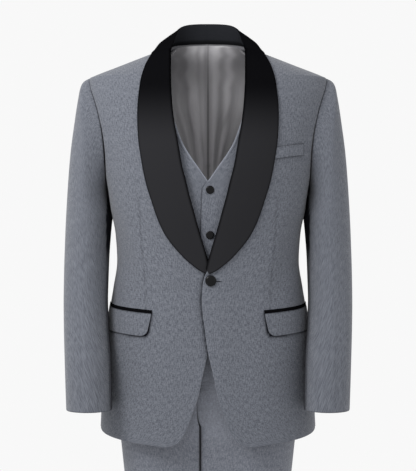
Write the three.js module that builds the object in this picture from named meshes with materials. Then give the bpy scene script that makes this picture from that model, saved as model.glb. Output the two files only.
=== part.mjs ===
// A three-piece dinner suit, filled out as it is worn, with nobody in it: a one-button jacket with a
// satin shawl collar and two flapped hip pockets, a single-breasted waistcoat, and trousers.
// Units are millimetres. +Z is up, -Y is the front, and left and right are the wearer's, so +X is left.
// The origin is on the midline, level with the points where the shoulder seams meet the neck.
// Every cloth piece is a wall of even thickness about a mid surface. The jacket and the waistcoat
// follow one body form, given by level rings, and the trousers have rings of their own.

import * as THREE from 'three';

// Cloth and seams
const SEAM = 0.3;
const JACKET_WALL = 1.8;
const COLLAR_WALL = 1.5;
const SLEEVE_WALL = 1.6;
const WAISTCOAT_WALL = 1.4;
const TROUSER_WALL = 1.2;
const TRIM_WALL = 0.8;
const FLAP_WALL = 1.4;

// Layers, as lifts of the mid surface from the body form along its normal
const WAISTCOAT_LIFT = -9;
const JACKET_OVERLAP = { left: 3.6, right: -2.6 };
const WAISTCOAT_OVERLAP = { left: 1.2, right: -1.2 };
const COLLAR_LIFT = 3.9;

// Landmarks on the jacket
const NECK_POINT_Z = 3;
const SHOULDER_POINT_Z = -53;
const ARMHOLE = { turn: 0.5, z: -158, frontReach: 0.147, backReach: 0.16, zReach: 105 };
const ARMHOLE_STEP = 18;
const FRONT_SEAM_ANGLE = 162;
const BACK_SEAM_ANGLE = 234;
const FRONT_COLUMNS = 8;
const SIDE_HEM_Z = -714;
const BACK_HEM_Z = -717;

// The body form: half width, front depth, back depth and roundness of the level ring at each height
const BODY_RINGS = [
  { z: 60, half: 71, front: 50, back: 62.5, power: 2.0 },
  { z: 3, half: 71, front: 52, back: 62.5, power: 2.0 },
  { z: -8, half: 103, front: 60, back: 71, power: 2.0 },
  { z: -10.5, half: 116, front: 62, back: 75, power: 2.0 },
  { z: -30, half: 171, front: 75, back: 88, power: 2.05 },
  { z: -53, half: 226, front: 87, back: 98.5, power: 2.15 },
  { z: -75, half: 225.5, front: 98, back: 107, power: 2.25 },
  { z: -100, half: 222, front: 107, back: 113, power: 2.35 },
  { z: -150, half: 213, front: 119, back: 120, power: 2.4 },
  { z: -200, half: 203, front: 127, back: 123, power: 2.4 },
  { z: -250, half: 193, front: 131, back: 122, power: 2.4 },
  { z: -300, half: 184, front: 131, back: 118, power: 2.4 },
  { z: -350, half: 174, front: 129, back: 113, power: 2.4 },
  { z: -400, half: 171, front: 127, back: 110, power: 2.4 },
  { z: -450, half: 178, front: 127, back: 113, power: 2.4 },
  { z: -500, half: 186, front: 130, back: 120, power: 2.4 },
  { z: -560, half: 192, front: 134, back: 127, power: 2.4 },
  { z: -640, half: 198, front: 138, back: 133, power: 2.4 },
  { z: -740, half: 203, front: 142, back: 138, power: 2.4 },
];

// Height of the neck seam round the back of the neck, from the shoulder seam (0.5) to the centre back (1)
const NECK_SEAM = [
  { turn: 0.5, z: NECK_POINT_Z },
  { turn: 0.58, z: 8 },
  { turn: 0.7, z: 13.5 },
  { turn: 0.85, z: 18 },
  { turn: 1, z: 20 },
];

// The jacket front's edge: the cutaway, the button, then the lapel's roll line up to the neck
const FRONT_EDGE = [
  { z: -680, x: 30.5 },
  { z: -662, x: 23.3 },
  { z: -642, x: 17.2 },
  { z: -607, x: 10 },
  { z: -560, x: -0.7 },
  { z: -522, x: -6 },
  { z: -469, x: -11.4 },
  { z: -445, x: -10 },
  { z: -418, x: -4.3 },
  { z: -397, x: 0 },
  { z: -379, x: 6.3 },
  { z: -341, x: 17.1 },
  { z: -284, x: 32.8 },
  { z: -223, x: 47.8 },
  { z: -150, x: 60.7 },
  { z: -87, x: 67.1 },
  { z: -40, x: 68.8 },
  { z: 3, x: 69 },
];

// The rounded corner of the jacket front, from the hem up, with the side seam's height on each row
const FRONT_CORNER = [
  { x: 74, z: -734, sideZ: SIDE_HEM_Z },
  { x: 55.5, z: -727, sideZ: -706 },
  { x: 45, z: -714, sideZ: -697 },
  { x: 36, z: -697, sideZ: -685 },
  { x: 30.5, z: -680, sideZ: -671 },
];
const TORSO_ROWS_Z = [-650, -615, -580, -540, -500, -465, -435, -415, -395, -370, -330, -295];
const SHOULDER_ROWS_Z = [SHOULDER_POINT_Z, -40, -29, -18, -9, 1.5];

// The shawl collar on the chest: its roll line and its outer edge, from the button up
const LAPEL_STATIONS = [
  { rollX: -3.5, rollZ: -414, outerX: 2.5, outerZ: -422 },
  { rollX: -1.2, rollZ: -404, outerX: 18, outerZ: -414 },
  { rollX: 5, rollZ: -382, outerX: 45, outerZ: -391 },
  { rollX: 17.1, rollZ: -341, outerX: 73, outerZ: -357 },
  { rollX: 25, rollZ: -312, outerX: 89.5, outerZ: -324 },
  { rollX: 32.8, rollZ: -284, outerX: 101.5, outerZ: -289 },
  { rollX: 40.5, rollZ: -252, outerX: 111.5, outerZ: -256 },
  { rollX: 47.8, rollZ: -223, outerX: 119, outerZ: -220 },
  { rollX: 55.2, rollZ: -180, outerX: 125.3, outerZ: -179 },
  { rollX: 60.7, rollZ: -150, outerX: 127.5, outerZ: -143 },
  { rollX: 64.8, rollZ: -118, outerX: 127.3, outerZ: -110 },
  { rollX: 67.5, rollZ: -80, outerX: 123.5, outerZ: -72 },
  { rollX: 68.3, rollZ: -60, outerX: 119.8, outerZ: -54 },
  { rollX: 68.7, rollZ: -40, outerX: 114.5, outerZ: -37 },
  { rollX: 69, rollZ: -12, outerX: 107, outerZ: -20 },
];

// The shawl collar round the neck: fold line, seam and outer edge, from the front to the centre back
const COLLAR_STATIONS = [
  { fold: [69, -27, -1], seam: [71.3, -28, -2], outer: [105, -28, -8], bulge: 3 },
  { fold: [67.5, -8, 8], seam: [71.2, -9, 3.5], outer: [104, -12, -5], bulge: 5 },
  { fold: [65, 6, 17], seamTurn: 0.53, outer: [103, 2, -4], bulge: 7 },
  { fold: [61.5, 20, 30], seamTurn: 0.6, outer: [102, 17, -4.5], bulge: 8 },
  { fold: [55.5, 35, 43.5], seamTurn: 0.69, outer: [95, 37, -4.5], bulge: 7 },
  { fold: [42, 50, 52.5], seamTurn: 0.79, outer: [75, 55, -4], bulge: 5 },
  { fold: [22, 61, 56.5], seamTurn: 0.9, outer: [38, 67, 1], bulge: 3 },
  { fold: [0, 64.5, 57.5], seamTurn: 1, outer: [0, 69.5, 6], bulge: 2 },
];
const ROLL_RADIUS = 2.2;
const LAPEL_SEAM_INSET = 3.3;

// The sleeve as level ovals: outer and inner side, half depth and middle of its depth
const SLEEVE_RINGS = [
  { z: -51, outer: 234.5, inner: 186, depth: 58, y: 4 },
  { z: -61, outer: 238.5, inner: 186, depth: 60, y: 4 },
  { z: -91, outer: 245, inner: 186, depth: 62, y: 4 },
  { z: -137, outer: 252.5, inner: 186, depth: 66, y: 4 },
  { z: -205, outer: 261.5, inner: 192, depth: 70, y: 4 },
  { z: -263, outer: 266, inner: 194, depth: 71, y: 2 },
  { z: -300, outer: 268, inner: 187, depth: 71, y: -1 },
  { z: -320, outer: 268.8, inner: 183.2, depth: 70.5, y: -4 },
  { z: -345, outer: 269.5, inner: 184.5, depth: 70, y: -8 },
  { z: -400, outer: 270, inner: 187, depth: 66, y: -22 },
  { z: -460, outer: 269, inner: 187.5, depth: 62, y: -43 },
  { z: -520, outer: 266, inner: 184, depth: 58, y: -68 },
  { z: -570, outer: 262.5, inner: 179, depth: 56, y: -88 },
  { z: -620, outer: 259, inner: 176.5, depth: 53, y: -104 },
  { z: -672, outer: 255.5, inner: 174.5, depth: 50, y: -117 },
];
const CUFF_Z = -667.5;
const SLEEVE_FRONT_SEAM_ANGLE = 162;
const SLEEVE_BACK_SEAM_ANGLE = 252;
const SLEEVE_ROWS = [0, 0.007, 0.02, 0.045, 0.085, 0.14, 0.21, 0.3, 0.4, 0.5, 0.6, 0.7, 0.8, 0.9, 1];
const ARMHOLE_GAP = { turn: 0.0026, z: 1.3 };
const CAP_BLEND = { top: 8, underarm: 120 };
const UNDERARM_LIFT = 2.3;

// The waistcoat: its V and front edge, its deeper armhole, and its pointed hem
const WAISTCOAT_EDGE = [
  { z: -500, x: -14 },
  { z: -342, x: -13.9 },
  { z: -308, x: -13.2 },
  { z: -268, x: -11.4 },
  { z: -251, x: 2 },
  { z: -231, x: 15.5 },
  { z: -209, x: 31.1 },
  { z: -183, x: 46.8 },
  { z: -158, x: 56.3 },
  { z: -138, x: 63 },
  { z: -100, x: 71.5 },
  { z: -60, x: 77 },
  { z: 3, x: 79 },
];
const WAISTCOAT_ARMHOLE = { turn: 0.5, z: -163, frontReach: 0.19, backReach: 0.17, zReach: 141 };
const WAISTCOAT_ARMHOLE_STEP = 20;
const WAISTCOAT_SIDE_HEM_Z = -492;
const WAISTCOAT_FRONT_HEM = [{ u: 0, z: -502 }, { u: 2 / 7, z: -543 }, { u: 1, z: WAISTCOAT_SIDE_HEM_Z }];
const WAISTCOAT_BACK_HEM_Z = -490;
const WAISTCOAT_ROWS_Z = [-478, -440, -400, -352];
const WAISTCOAT_SHOULDER_ROWS_Z = [-22, -14, -6, -1];

// The trousers' hips, and each leg's oval from the fork down
const HIP_RINGS = [
  { z: -415, half: 157, front: 112, back: 96, power: 2.4 },
  { z: -455, half: 163, front: 112, back: 98, power: 2.4 },
  { z: -500, half: 170, front: 114, back: 103, power: 2.4 },
  { z: -545, half: 174, front: 115, back: 110, power: 2.4 },
  { z: -600, half: 175, front: 115, back: 118, power: 2.35 },
  { z: -650, half: 171, front: 112, back: 121, power: 2.3 },
  { z: -700, half: 167, front: 106, back: 119, power: 2.3 },
];
const LEG_RINGS = [
  { z: -600, outer: 175, inner: 0.9, front: 112, back: 118, power: 2.9 },
  { z: -700, outer: 167, inner: 0.9, front: 106, back: 119, power: 2.9 },
  { z: -760, outer: 161, inner: 0.9, front: 100, back: 110, power: 2.7 },
  { z: -850, outer: 152, inner: 1.5, front: 90, back: 97, power: 2.5 },
  { z: -1000, outer: 141, inner: 5, front: 79, back: 84, power: 2.25 },
  { z: -1100, outer: 135, inner: 8, front: 76, back: 80, power: 2.2 },
  { z: -1300, outer: 127, inner: 12, front: 70, back: 78, power: 2.2 },
  { z: -1510, outer: 121, inner: 15, front: 64, back: 78, power: 2.2 },
];
const WAIST_Z = -455;
const WAISTBAND_TOP_Z = -415;
const FORK_Z = -700;
const RISE_CURVE_Z = { front: -610, back: -590 };
const FLY_OFFSET = -22;
const CREASE = 3;
const FRONT_TURN_IN = { share: 0.75, power: 7, gap: 0.75 };
const TROUSER_ROWS_Z = [
  WAIST_Z, -500, -545, -590, -620, -645, -668, -685, FORK_Z, -730,
  -770, -820, -880, -960, -1050, -1150, -1270, -1390, -1510,
];

// Hip pockets, breast welt and buttons on the jacket and the waistcoat
const HIP_POCKET = { frontX: 101.4, backTurn: 0.468, frontZ: -494, backZ: -482.5, length: 145 };
const POCKET_JET_HEIGHT = 6;
const POCKET_FLAP_HEIGHT = 42;
const FLAP_CORNER = 14;
const FLAP_CORNER_INSETS = [0, 1.5, 4.5, 9, 14];
const BREAST_WELT = { innerX: 116, outerX: 175, innerZ: -186, outerZ: -180, height: 25, wall: 1, stand: 0.6 };
const JACKET_BUTTON = { x: 5, z: -434, radius: 10, height: 5 };
const WAISTCOAT_BUTTONS = { x: 3.7, z: [-270, -352, -413, -472], radius: 7.5, height: 2.6 };

const cloth = new THREE.MeshStandardMaterial({ color: 0x787c85, roughness: 0.9, metalness: 0 });
const satin = new THREE.MeshStandardMaterial({ color: 0x1a1a1d, roughness: 0.35, metalness: 0 });
const lining = new THREE.MeshStandardMaterial({ color: 0x737378, roughness: 0.45, metalness: 0 });

const vector = (x, y, z) => new THREE.Vector3(x, y, z);
const mix = (a, b, share) => a + (b - a) * share;
const radians = THREE.MathUtils.degToRad;

function smoothStep(low, high, value) {
  const share = THREE.MathUtils.clamp((value - low) / (high - low), 0, 1);
  return share * share * (3 - 2 * share);
}

// A monotone cubic through one column of a table, read by another column
function readColumn(table, column, by = 'z') {
  const rows = [...table].sort((p, q) => p[by] - q[by]);
  const at = rows.map((row) => row[by]);
  const value = rows.map((row) => row[column]);
  const width = at.slice(1).map((x, i) => x - at[i]);
  const rise = width.map((w, i) => (value[i + 1] - value[i]) / w);
  const slope = at.map((_, i) => {
    if (i === 0) return rise[0];
    if (i === at.length - 1) return rise[i - 1];
    if (rise[i - 1] * rise[i] <= 0) return 0;
    const before = 2 * width[i] + width[i - 1];
    const after = width[i] + 2 * width[i - 1];
    return (before + after) / (before / rise[i - 1] + after / rise[i]);
  });
  return (x) => {
    const clamped = THREE.MathUtils.clamp(x, at[0], at[at.length - 1]);
    let i = 0;
    while (i < width.length - 1 && clamped > at[i + 1]) i += 1;
    const s = (clamped - at[i]) / width[i];
    return (1 + 2 * s) * (1 - s) ** 2 * value[i] + s * (1 - s) ** 2 * width[i] * slope[i]
      + s * s * (3 - 2 * s) * value[i + 1] + s * s * (s - 1) * width[i] * slope[i + 1];
  };
}

function readColumns(table, names) {
  return Object.fromEntries(names.map((name) => [name, readColumn(table, name)]));
}

// Level rings. A turn of 0 is the centre front, 0.5 the left side, 1 the centre back, and -0.5 the right side
function ringForm(table) {
  const read = readColumns(table, ['half', 'front', 'back', 'power']);
  const point = (turn, z) => {
    const power = read.power(z);
    const across = Math.sin(Math.PI * turn);
    const along = Math.cos(Math.PI * turn);
    const reach = (Math.abs(across) ** power + Math.abs(along) ** power) ** (-1 / power);
    const depth = along >= 0 ? read.front(z) : read.back(z);
    return vector(read.half(z) * across * reach, -depth * along * reach, z);
  };
  const frontTurn = (x, z) => {
    const power = read.power(z);
    const across = THREE.MathUtils.clamp(x / read.half(z), -1, 1);
    return Math.atan2(across, (1 - Math.abs(across) ** power) ** (1 / power)) / Math.PI;
  };
  const normal = (turn, z) => {
    const turnStep = 1e-3;
    const zStep = 0.5;
    const round = point(turn + turnStep, z).sub(point(turn - turnStep, z));
    const up = point(turn, z + zStep).sub(point(turn, z - zStep));
    return round.cross(up).normalize();
  };
  const lifted = (turn, z, lift) => point(turn, z).addScaledVector(normal(turn, z), lift);
  // The turn half a seam's width before (-1) or after (+1) a seam, counted away from the centre front
  const besideSeam = (turn, z, direction) => {
    const step = 1e-3;
    const speed = point(turn + step, z).distanceTo(point(turn - step, z)) / (2 * step);
    return turn + direction * SEAM / 2 / speed;
  };
  return { point, frontTurn, normal, lifted, besideSeam, read };
}

const body = ringForm(BODY_RINGS);
const hips = ringForm(HIP_RINGS);

// A closed wall about a grid of points, each with its own normal
function wallGeometry(grid, thickness) {
  const rows = grid.length;
  const columns = grid[0].length;
  const positions = [];
  for (const side of [0.5, -0.5]) {
    for (const row of grid) {
      for (const { point, normal } of row) {
        positions.push(...point.clone().addScaledVector(normal, side * thickness).toArray());
      }
    }
  }
  const index = [];
  const at = (face, i, j) => (face * rows + i) * columns + j;
  const quad = (a, b, c, d) => index.push(a, b, c, a, c, d);
  for (let i = 0; i < rows - 1; i += 1) {
    for (let j = 0; j < columns - 1; j += 1) {
      quad(at(0, i, j), at(0, i, j + 1), at(0, i + 1, j + 1), at(0, i + 1, j));
      quad(at(1, i, j), at(1, i + 1, j), at(1, i + 1, j + 1), at(1, i, j + 1));
    }
  }
  for (let i = 0; i < rows - 1; i += 1) {
    quad(at(0, i, 0), at(0, i + 1, 0), at(1, i + 1, 0), at(1, i, 0));
    quad(at(0, i + 1, columns - 1), at(0, i, columns - 1), at(1, i, columns - 1), at(1, i + 1, columns - 1));
  }
  for (let j = 0; j < columns - 1; j += 1) {
    quad(at(0, 0, j + 1), at(0, 0, j), at(1, 0, j), at(1, 0, j + 1));
    quad(at(0, rows - 1, j), at(0, rows - 1, j + 1), at(1, rows - 1, j + 1), at(1, rows - 1, j));
  }
  const geometry = new THREE.BufferGeometry();
  geometry.setAttribute('position', new THREE.Float32BufferAttribute(positions, 3));
  geometry.setIndex(enclosedVolume(positions, index) < 0 ? index.reverse() : index);
  geometry.computeVertexNormals();
  return geometry;
}

function enclosedVolume(positions, index) {
  const corner = (k) => vector(...positions.slice(3 * index[k], 3 * index[k] + 3));
  let volume = 0;
  for (let k = 0; k < index.length; k += 3) volume += corner(k).dot(corner(k + 1).cross(corner(k + 2))) / 6;
  return volume;
}

function clothPiece(name, material, thickness, grid) {
  const mesh = new THREE.Mesh(wallGeometry(grid, thickness), material);
  mesh.name = name;
  return mesh;
}

// A grid on a ring form. Each row is a list of { turn, z, lift }
function gridOnForm(form, rows) {
  return rows.map((row) => row.map(({ turn, z, lift = 0 }) => ({
    point: form.lifted(turn, z, lift),
    normal: form.normal(turn, z),
  })));
}

// A grid over a surface given as a function, whose normals come from small steps on it
function gridOfSurface(surface, acrossList, alongList, outward) {
  const tangent = (list, at, place) => {
    const step = (list.at(-1) - list[0]) / 1000;
    const high = Math.max(list[0], list.at(-1));
    const low = Math.min(list[0], list.at(-1));
    const clamped = (value) => place(THREE.MathUtils.clamp(value, low, high));
    return clamped(at + step).sub(clamped(at - step));
  };
  return alongList.map((along) => acrossList.map((across) => {
    const onAcross = tangent(acrossList, across, (value) => surface(value, along));
    const onAlong = tangent(alongList, along, (value) => surface(across, value));
    const normal = onAcross.cross(onAlong).normalize().multiplyScalar(outward);
    return { point: surface(across, along), normal };
  }));
}

// A grid over points with no form, whose normals come from each point's neighbours
function gridOfPoints(points, outward) {
  const last = points.length - 1;
  const end = points[0].length - 1;
  return points.map((row, i) => row.map((point, j) => {
    const along = points[Math.min(i + 1, last)][j].clone().sub(points[Math.max(i - 1, 0)][j]);
    const across = row[Math.min(j + 1, end)].clone().sub(row[Math.max(j - 1, 0)]);
    return { point, normal: across.cross(along).normalize().multiplyScalar(outward) };
  }));
}

const shares = (count) => Array.from({ length: count + 1 }, (_, i) => i / count);
const sideName = (side) => (side > 0 ? 'left' : 'right');

// The jacket's body panels
const frontEdgeX = readColumn(FRONT_EDGE, 'x');
const neckSeamZ = readColumn(NECK_SEAM, 'z', 'turn');

function armholePoint(angle, hole = ARMHOLE, gap = { turn: 0, z: 0 }) {
  const reach = angle > 180 || angle < 0 ? hole.backReach : hole.frontReach;
  return {
    turn: hole.turn - (reach - gap.turn) * Math.sin(radians(angle)),
    z: hole.z + (hole.zReach - gap.z) * Math.cos(radians(angle)),
  };
}

// How far a jacket front is lifted where the left one laps over the right one
function overlapLift(side, x, z) {
  const amount = JACKET_OVERLAP[sideName(side)];
  return amount * (1 - smoothStep(15, 75, x * side)) * (1 - smoothStep(-400, -260, z));
}

function jacketLift(side, turn, z) {
  return overlapLift(side, body.point(turn, z).x, z);
}

function armholeRows(hole, from, to, step) {
  const count = Math.round((to - from) / step);
  return shares(count).map((share) => armholePoint(mix(from, to, share), hole));
}

// Rows of a jacket front: its edge on the body and the turn and height where it ends
function jacketFrontRows() {
  const lapelInset = (z) => LAPEL_SEAM_INSET * smoothStep(-428, -412, z);
  const seamTurn = armholePoint(FRONT_SEAM_ANGLE).turn;
  const corner = FRONT_CORNER.map(({ x, z, sideZ }) => ({ x, z, endTurn: seamTurn, endZ: sideZ }));
  const level = (z, endTurn) => ({ x: frontEdgeX(z) + lapelInset(z), z, endTurn, endZ: z });
  const torso = TORSO_ROWS_Z.map((z) => level(z, seamTurn));
  const armhole = armholeRows(ARMHOLE, ARMHOLE_STEP, FRONT_SEAM_ANGLE, ARMHOLE_STEP).reverse()
    .map(({ turn, z }) => level(z, turn));
  const shoulder = SHOULDER_ROWS_Z.map((z) => level(z, 0.5));
  return [...corner, ...torso, ...armhole, ...shoulder];
}

function jacketFront(side) {
  const rows = jacketFrontRows().map(({ x, z, endTurn, endZ }) => {
    const startTurn = body.frontTurn(x, z);
    const lastTurn = body.besideSeam(endTurn, endZ, -1);
    return shares(FRONT_COLUMNS).map((share) => {
      const turn = side * mix(startTurn, lastTurn, share);
      const level = mix(z, endZ, share);
      return { turn, z: level, lift: jacketLift(side, turn, level) };
    });
  });
  return clothPiece(`jacket_front_${sideName(side)}`, cloth, JACKET_WALL, gridOnForm(body, rows));
}

function hemZ(turn) {
  return mix(SIDE_HEM_Z, BACK_HEM_Z, smoothStep(0.5, 1, Math.abs(turn)));
}

function jacketSide(side) {
  const angles = armholeAngles(FRONT_SEAM_ANGLE, BACK_SEAM_ANGLE);
  const top = angles.map((angle) => armholePoint(angle));
  const levels = [null, ...[...TORSO_ROWS_Z].reverse(), -685, null];
  const rows = levels.map((level, i) => top.map(({ turn, z }, j) => {
    const rowZ = i === 0 ? z : level ?? hemZ(turn);
    const direction = { 0: 1, [top.length - 1]: -1 }[j] ?? 0;
    return { turn: side * body.besideSeam(turn, rowZ, direction), z: rowZ };
  }));
  return clothPiece(`jacket_side_${sideName(side)}`, cloth, JACKET_WALL, gridOnForm(body, rows));
}

function armholeAngles(from, to) {
  return shares(Math.round((to - from) / ARMHOLE_STEP)).map((share) => mix(from, to, share));
}

function jacketBack(side) {
  const seamTurn = armholePoint(BACK_SEAM_ANGLE).turn;
  const hem = [{ startTurn: seamTurn, z: null }, { startTurn: seamTurn, z: -685 }];
  const torso = [...TORSO_ROWS_Z, armholePoint(FRONT_SEAM_ANGLE).z].map((z) => ({ startTurn: seamTurn, z }));
  const armhole = armholeAngles(BACK_SEAM_ANGLE, 360 - ARMHOLE_STEP)
    .map((angle) => armholePoint(angle)).map(({ turn, z }) => ({ startTurn: turn, z }));
  const shoulder = [...SHOULDER_ROWS_Z.slice(0, -1), NECK_POINT_Z].map((z) => ({ startTurn: 0.5, z }));
  const rows = [...hem, ...torso, ...armhole, ...shoulder].map(({ startTurn, z }) => {
    const start = body.besideSeam(startTurn, z ?? SIDE_HEM_Z, 1);
    const end = body.besideSeam(1, z ?? BACK_HEM_Z, -1);
    return shares(7).map((share) => {
      const turn = mix(start, end, share);
      return { turn: side * turn, z: z === null ? hemZ(turn) : risingRow(turn, z, NECK_POINT_Z, neckSeamZ) };
    });
  });
  return clothPiece(`jacket_back_${sideName(side)}`, cloth, JACKET_WALL, gridOnForm(body, rows));
}

// A shoulder row's height: level at the shoulder point, and rising to the neck seam's own curve at the top
function risingRow(turn, z, topZ, seamZ) {
  const share = Math.max((z - SHOULDER_POINT_Z) / (topZ - SHOULDER_POINT_Z), 0);
  return z + share ** 2 * (seamZ(turn) - seamZ(0.5));
}

// The shawl collar: a folded band, from the seam up to the fold and over to the outer edge
function onBody(side, x, z, lift) {
  const turn = side * body.frontTurn(x, z);
  return body.lifted(turn, z, lift + jacketLift(side, turn, z));
}

function lapelSection(side, { rollX, rollZ, outerX, outerZ }) {
  const narrow = smoothStep(5, 40, outerX - rollX);
  const at = (offset, lift) => onBody(side, rollX + offset, rollZ, lift);
  const across = (share, lift) => onBody(side, mix(rollX, outerX, share), mix(rollZ, outerZ, share), lift);
  const crown = mix(COLLAR_LIFT, 4.8, narrow);
  return [
    at(1.9, 0.1),
    at(0.4, 0.6),
    at(0, mix(1.5, 2.1, narrow)),
    at(0.7, mix(2.8, 3.8, narrow)),
    across(0.07 + 0.2 * (1 - narrow), crown),
    across(0.25 + 0.2 * (1 - narrow), mix(COLLAR_LIFT, 4.6, narrow)),
    across(0.5 + 0.1 * (1 - narrow), mix(COLLAR_LIFT, 4.3, narrow)),
    across(0.76, mix(COLLAR_LIFT, 4, narrow)),
    across(1, COLLAR_LIFT),
  ];
}

function collarSection(side, { fold, seam, seamTurn, outer, bulge }) {
  const mirrored = ([x, y, z]) => vector(side * x, y, z);
  const foldPoint = mirrored(fold);
  const outerPoint = mirrored(outer);
  const seamPoint = seam ? mirrored(seam) : body.point(side * seamTurn, neckSeamZ(seamTurn) + SEAM + 0.4);
  const fall = outerPoint.clone().sub(foldPoint).normalize();
  const stand = seamPoint.clone().sub(foldPoint).normalize();
  const outward = fall.clone().sub(stand).normalize();
  const down = fall.clone().add(stand).normalize();
  const turned = (downShare, outShare) => foldPoint.clone()
    .addScaledVector(down, downShare * ROLL_RADIUS).addScaledVector(outward, outShare * ROLL_RADIUS);
  const start = turned(1.2, 1.3);
  const alongFall = (share) => start.clone().lerp(outerPoint, share)
    .addScaledVector(outward, bulge * Math.sin(Math.PI * share));
  return [
    seamPoint,
    seamPoint.clone().lerp(turned(1.6, -1), 0.55),
    turned(0, 0),
    turned(0.1, 0.9),
    start,
    alongFall(0.25),
    alongFall(0.5),
    alongFall(0.76),
    outerPoint,
  ];
}

function shawlCollar(side) {
  const chest = LAPEL_STATIONS.map((station) => lapelSection(side, station));
  const neck = COLLAR_STATIONS.map((station) => collarSection(side, station));
  const grid = gridOfPoints([...chest, ...neck], side);
  for (const { point, normal } of grid.at(-1)) {
    point.x = side * SEAM / 2;
    normal.setX(0).normalize();
  }
  return clothPiece(`shawl_collar_${sideName(side)}`, satin, COLLAR_WALL, grid);
}

// The sleeves. An angle of 0 is the shoulder point, 90 the front, 180 the underarm and 270 the back
const sleeve = readColumns(SLEEVE_RINGS, ['outer', 'inner', 'depth', 'y']);

function sleeveOval(angle, z) {
  const middle = (sleeve.outer(z) + sleeve.inner(z)) / 2;
  const half = (sleeve.outer(z) - sleeve.inner(z)) / 2;
  const across = Math.cos(radians(angle));
  const forward = Math.sin(radians(angle));
  return vector(middle + half * across, sleeve.y(z) - sleeve.depth(z) * forward, z);
}

function sleevePoint(angle, share) {
  const seam = armholePoint(angle, ARMHOLE, ARMHOLE_GAP);
  const low = (1 - Math.cos(radians(angle))) / 2;
  const start = body.lifted(seam.turn, seam.z, UNDERARM_LIFT * smoothStep(0.3, 0.75, low));
  const z = mix(seam.z, CUFF_Z, share);
  const blendLength = mix(CAP_BLEND.top, CAP_BLEND.underarm, low);
  const blend = Math.max(1 - (seam.z - z) / blendLength, 0) ** 2;
  return sleeveOval(angle, z).add(start.sub(sleeveOval(angle, seam.z)).multiplyScalar(blend));
}

function sleevePiece(side, name, from, to) {
  const seamAngle = 0.18;
  const angles = armholeAngles(from, to);
  angles[0] += seamAngle;
  angles[angles.length - 1] -= seamAngle;
  const surface = (angle, share) => sleevePoint(angle, share).multiply(vector(side, 1, 1));
  const grid = gridOfSurface(surface, angles, SLEEVE_ROWS, side);
  return clothPiece(`${name}_${sideName(side)}`, cloth, SLEEVE_WALL, grid);
}

// Hip pockets and breast welt, which lie on the jacket's panels
const ON_JACKET = JACKET_WALL / 2 + SEAM;

// The pocket's columns are those of the panels under it, with its own two ends and extra columns near them
function hipPocketColumns(insets) {
  const { frontX, backTurn, frontZ, backZ, length } = HIP_POCKET;
  const start = body.frontTurn(frontX, frontZ);
  const edge = body.frontTurn(frontEdgeX(-500), -500);
  const seam = armholePoint(FRONT_SEAM_ANGLE).turn;
  const share = (turn) => (turn - start) / (backTurn - start);
  const panel = shares(FRONT_COLUMNS).map((at) => share(mix(edge, seam, at)));
  const ends = insets.flatMap((inset) => [inset / length, 1 - inset / length]);
  const clear = Math.max(...insets, 4) / length;
  const inner = panel.filter((at) => at > clear && at < 1 - clear);
  return [...ends, ...inner].sort((a, b) => a - b).map((at) => ({
    turn: mix(start, backTurn, at),
    z: mix(frontZ, backZ, at),
    inset: length * Math.min(at, 1 - at),
  }));
}

function pocketJet(side) {
  const rows = [0, POCKET_JET_HEIGHT].map((height) => hipPocketColumns([0]).map(({ turn, z }) => ({
    turn: side * turn,
    z: z + height,
    lift: ON_JACKET + TRIM_WALL / 2,
  })));
  return clothPiece(`pocket_jet_${sideName(side)}`, satin, TRIM_WALL, gridOnForm(body, rows));
}

function pocketFlap(side) {
  const cornerRise = (inset) => {
    const inCorner = Math.max(FLAP_CORNER - inset, 0);
    return FLAP_CORNER - Math.sqrt(FLAP_CORNER ** 2 - inCorner ** 2);
  };
  const rows = [0, 0.5, 1].map((down) => hipPocketColumns(FLAP_CORNER_INSETS).map(({ turn, z, inset }) => ({
    turn: side * turn,
    z: z - SEAM - down * (POCKET_FLAP_HEIGHT - cornerRise(inset)),
    lift: ON_JACKET + FLAP_WALL / 2,
  })));
  return clothPiece(`pocket_flap_${sideName(side)}`, cloth, FLAP_WALL, gridOnForm(body, rows));
}

function breastWelt() {
  const { innerX, outerX, innerZ, outerZ, height, wall, stand } = BREAST_WELT;
  const rows = [0, 0.5, 1].map((down) => shares(6).map((share) => {
    const z = mix(innerZ, outerZ, share) - down * height;
    return { turn: body.frontTurn(mix(innerX, outerX, share), z), z, lift: ON_JACKET + stand + wall / 2 };
  }));
  return clothPiece('breast_welt', cloth, wall, gridOnForm(body, rows));
}

// A domed button covered in satin, standing on a cloth surface
function button(name, x, z, surfaceLift, { radius, height }) {
  const profile = [[0, 0], [0.72, 0], [0.96, 0.22], [1, 0.45], [0.86, 0.8], [0.5, 0.96], [0, 1]]
    .map(([across, up]) => new THREE.Vector2(across * radius, up * height));
  const mesh = new THREE.Mesh(new THREE.LatheGeometry(profile, 14), satin);
  const turn = body.frontTurn(x, z);
  mesh.name = name;
  mesh.position.copy(body.lifted(turn, z, surfaceLift + SEAM));
  mesh.quaternion.setFromUnitVectors(vector(0, 1, 0), body.normal(turn, z));
  return mesh;
}

// The waistcoat
const waistcoatEdgeX = readColumn(WAISTCOAT_EDGE, 'x');
const frontHemZ = (u) => {
  const [centre, tip, seam] = WAISTCOAT_FRONT_HEM;
  return u < tip.u ? mix(centre.z, tip.z, u / tip.u) : mix(tip.z, seam.z, (u - tip.u) / (1 - tip.u));
};

function waistcoatOuterRows() {
  const seam = WAISTCOAT_ROWS_Z.map((z) => ({ turn: 0.5, z }));
  const armhole = armholeRows(WAISTCOAT_ARMHOLE, 0, 180, WAISTCOAT_ARMHOLE_STEP).reverse();
  const shoulder = WAISTCOAT_SHOULDER_ROWS_Z.slice(1).map((z) => ({ turn: 0.5, z }));
  return [...seam, ...armhole, ...shoulder];
}

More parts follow.
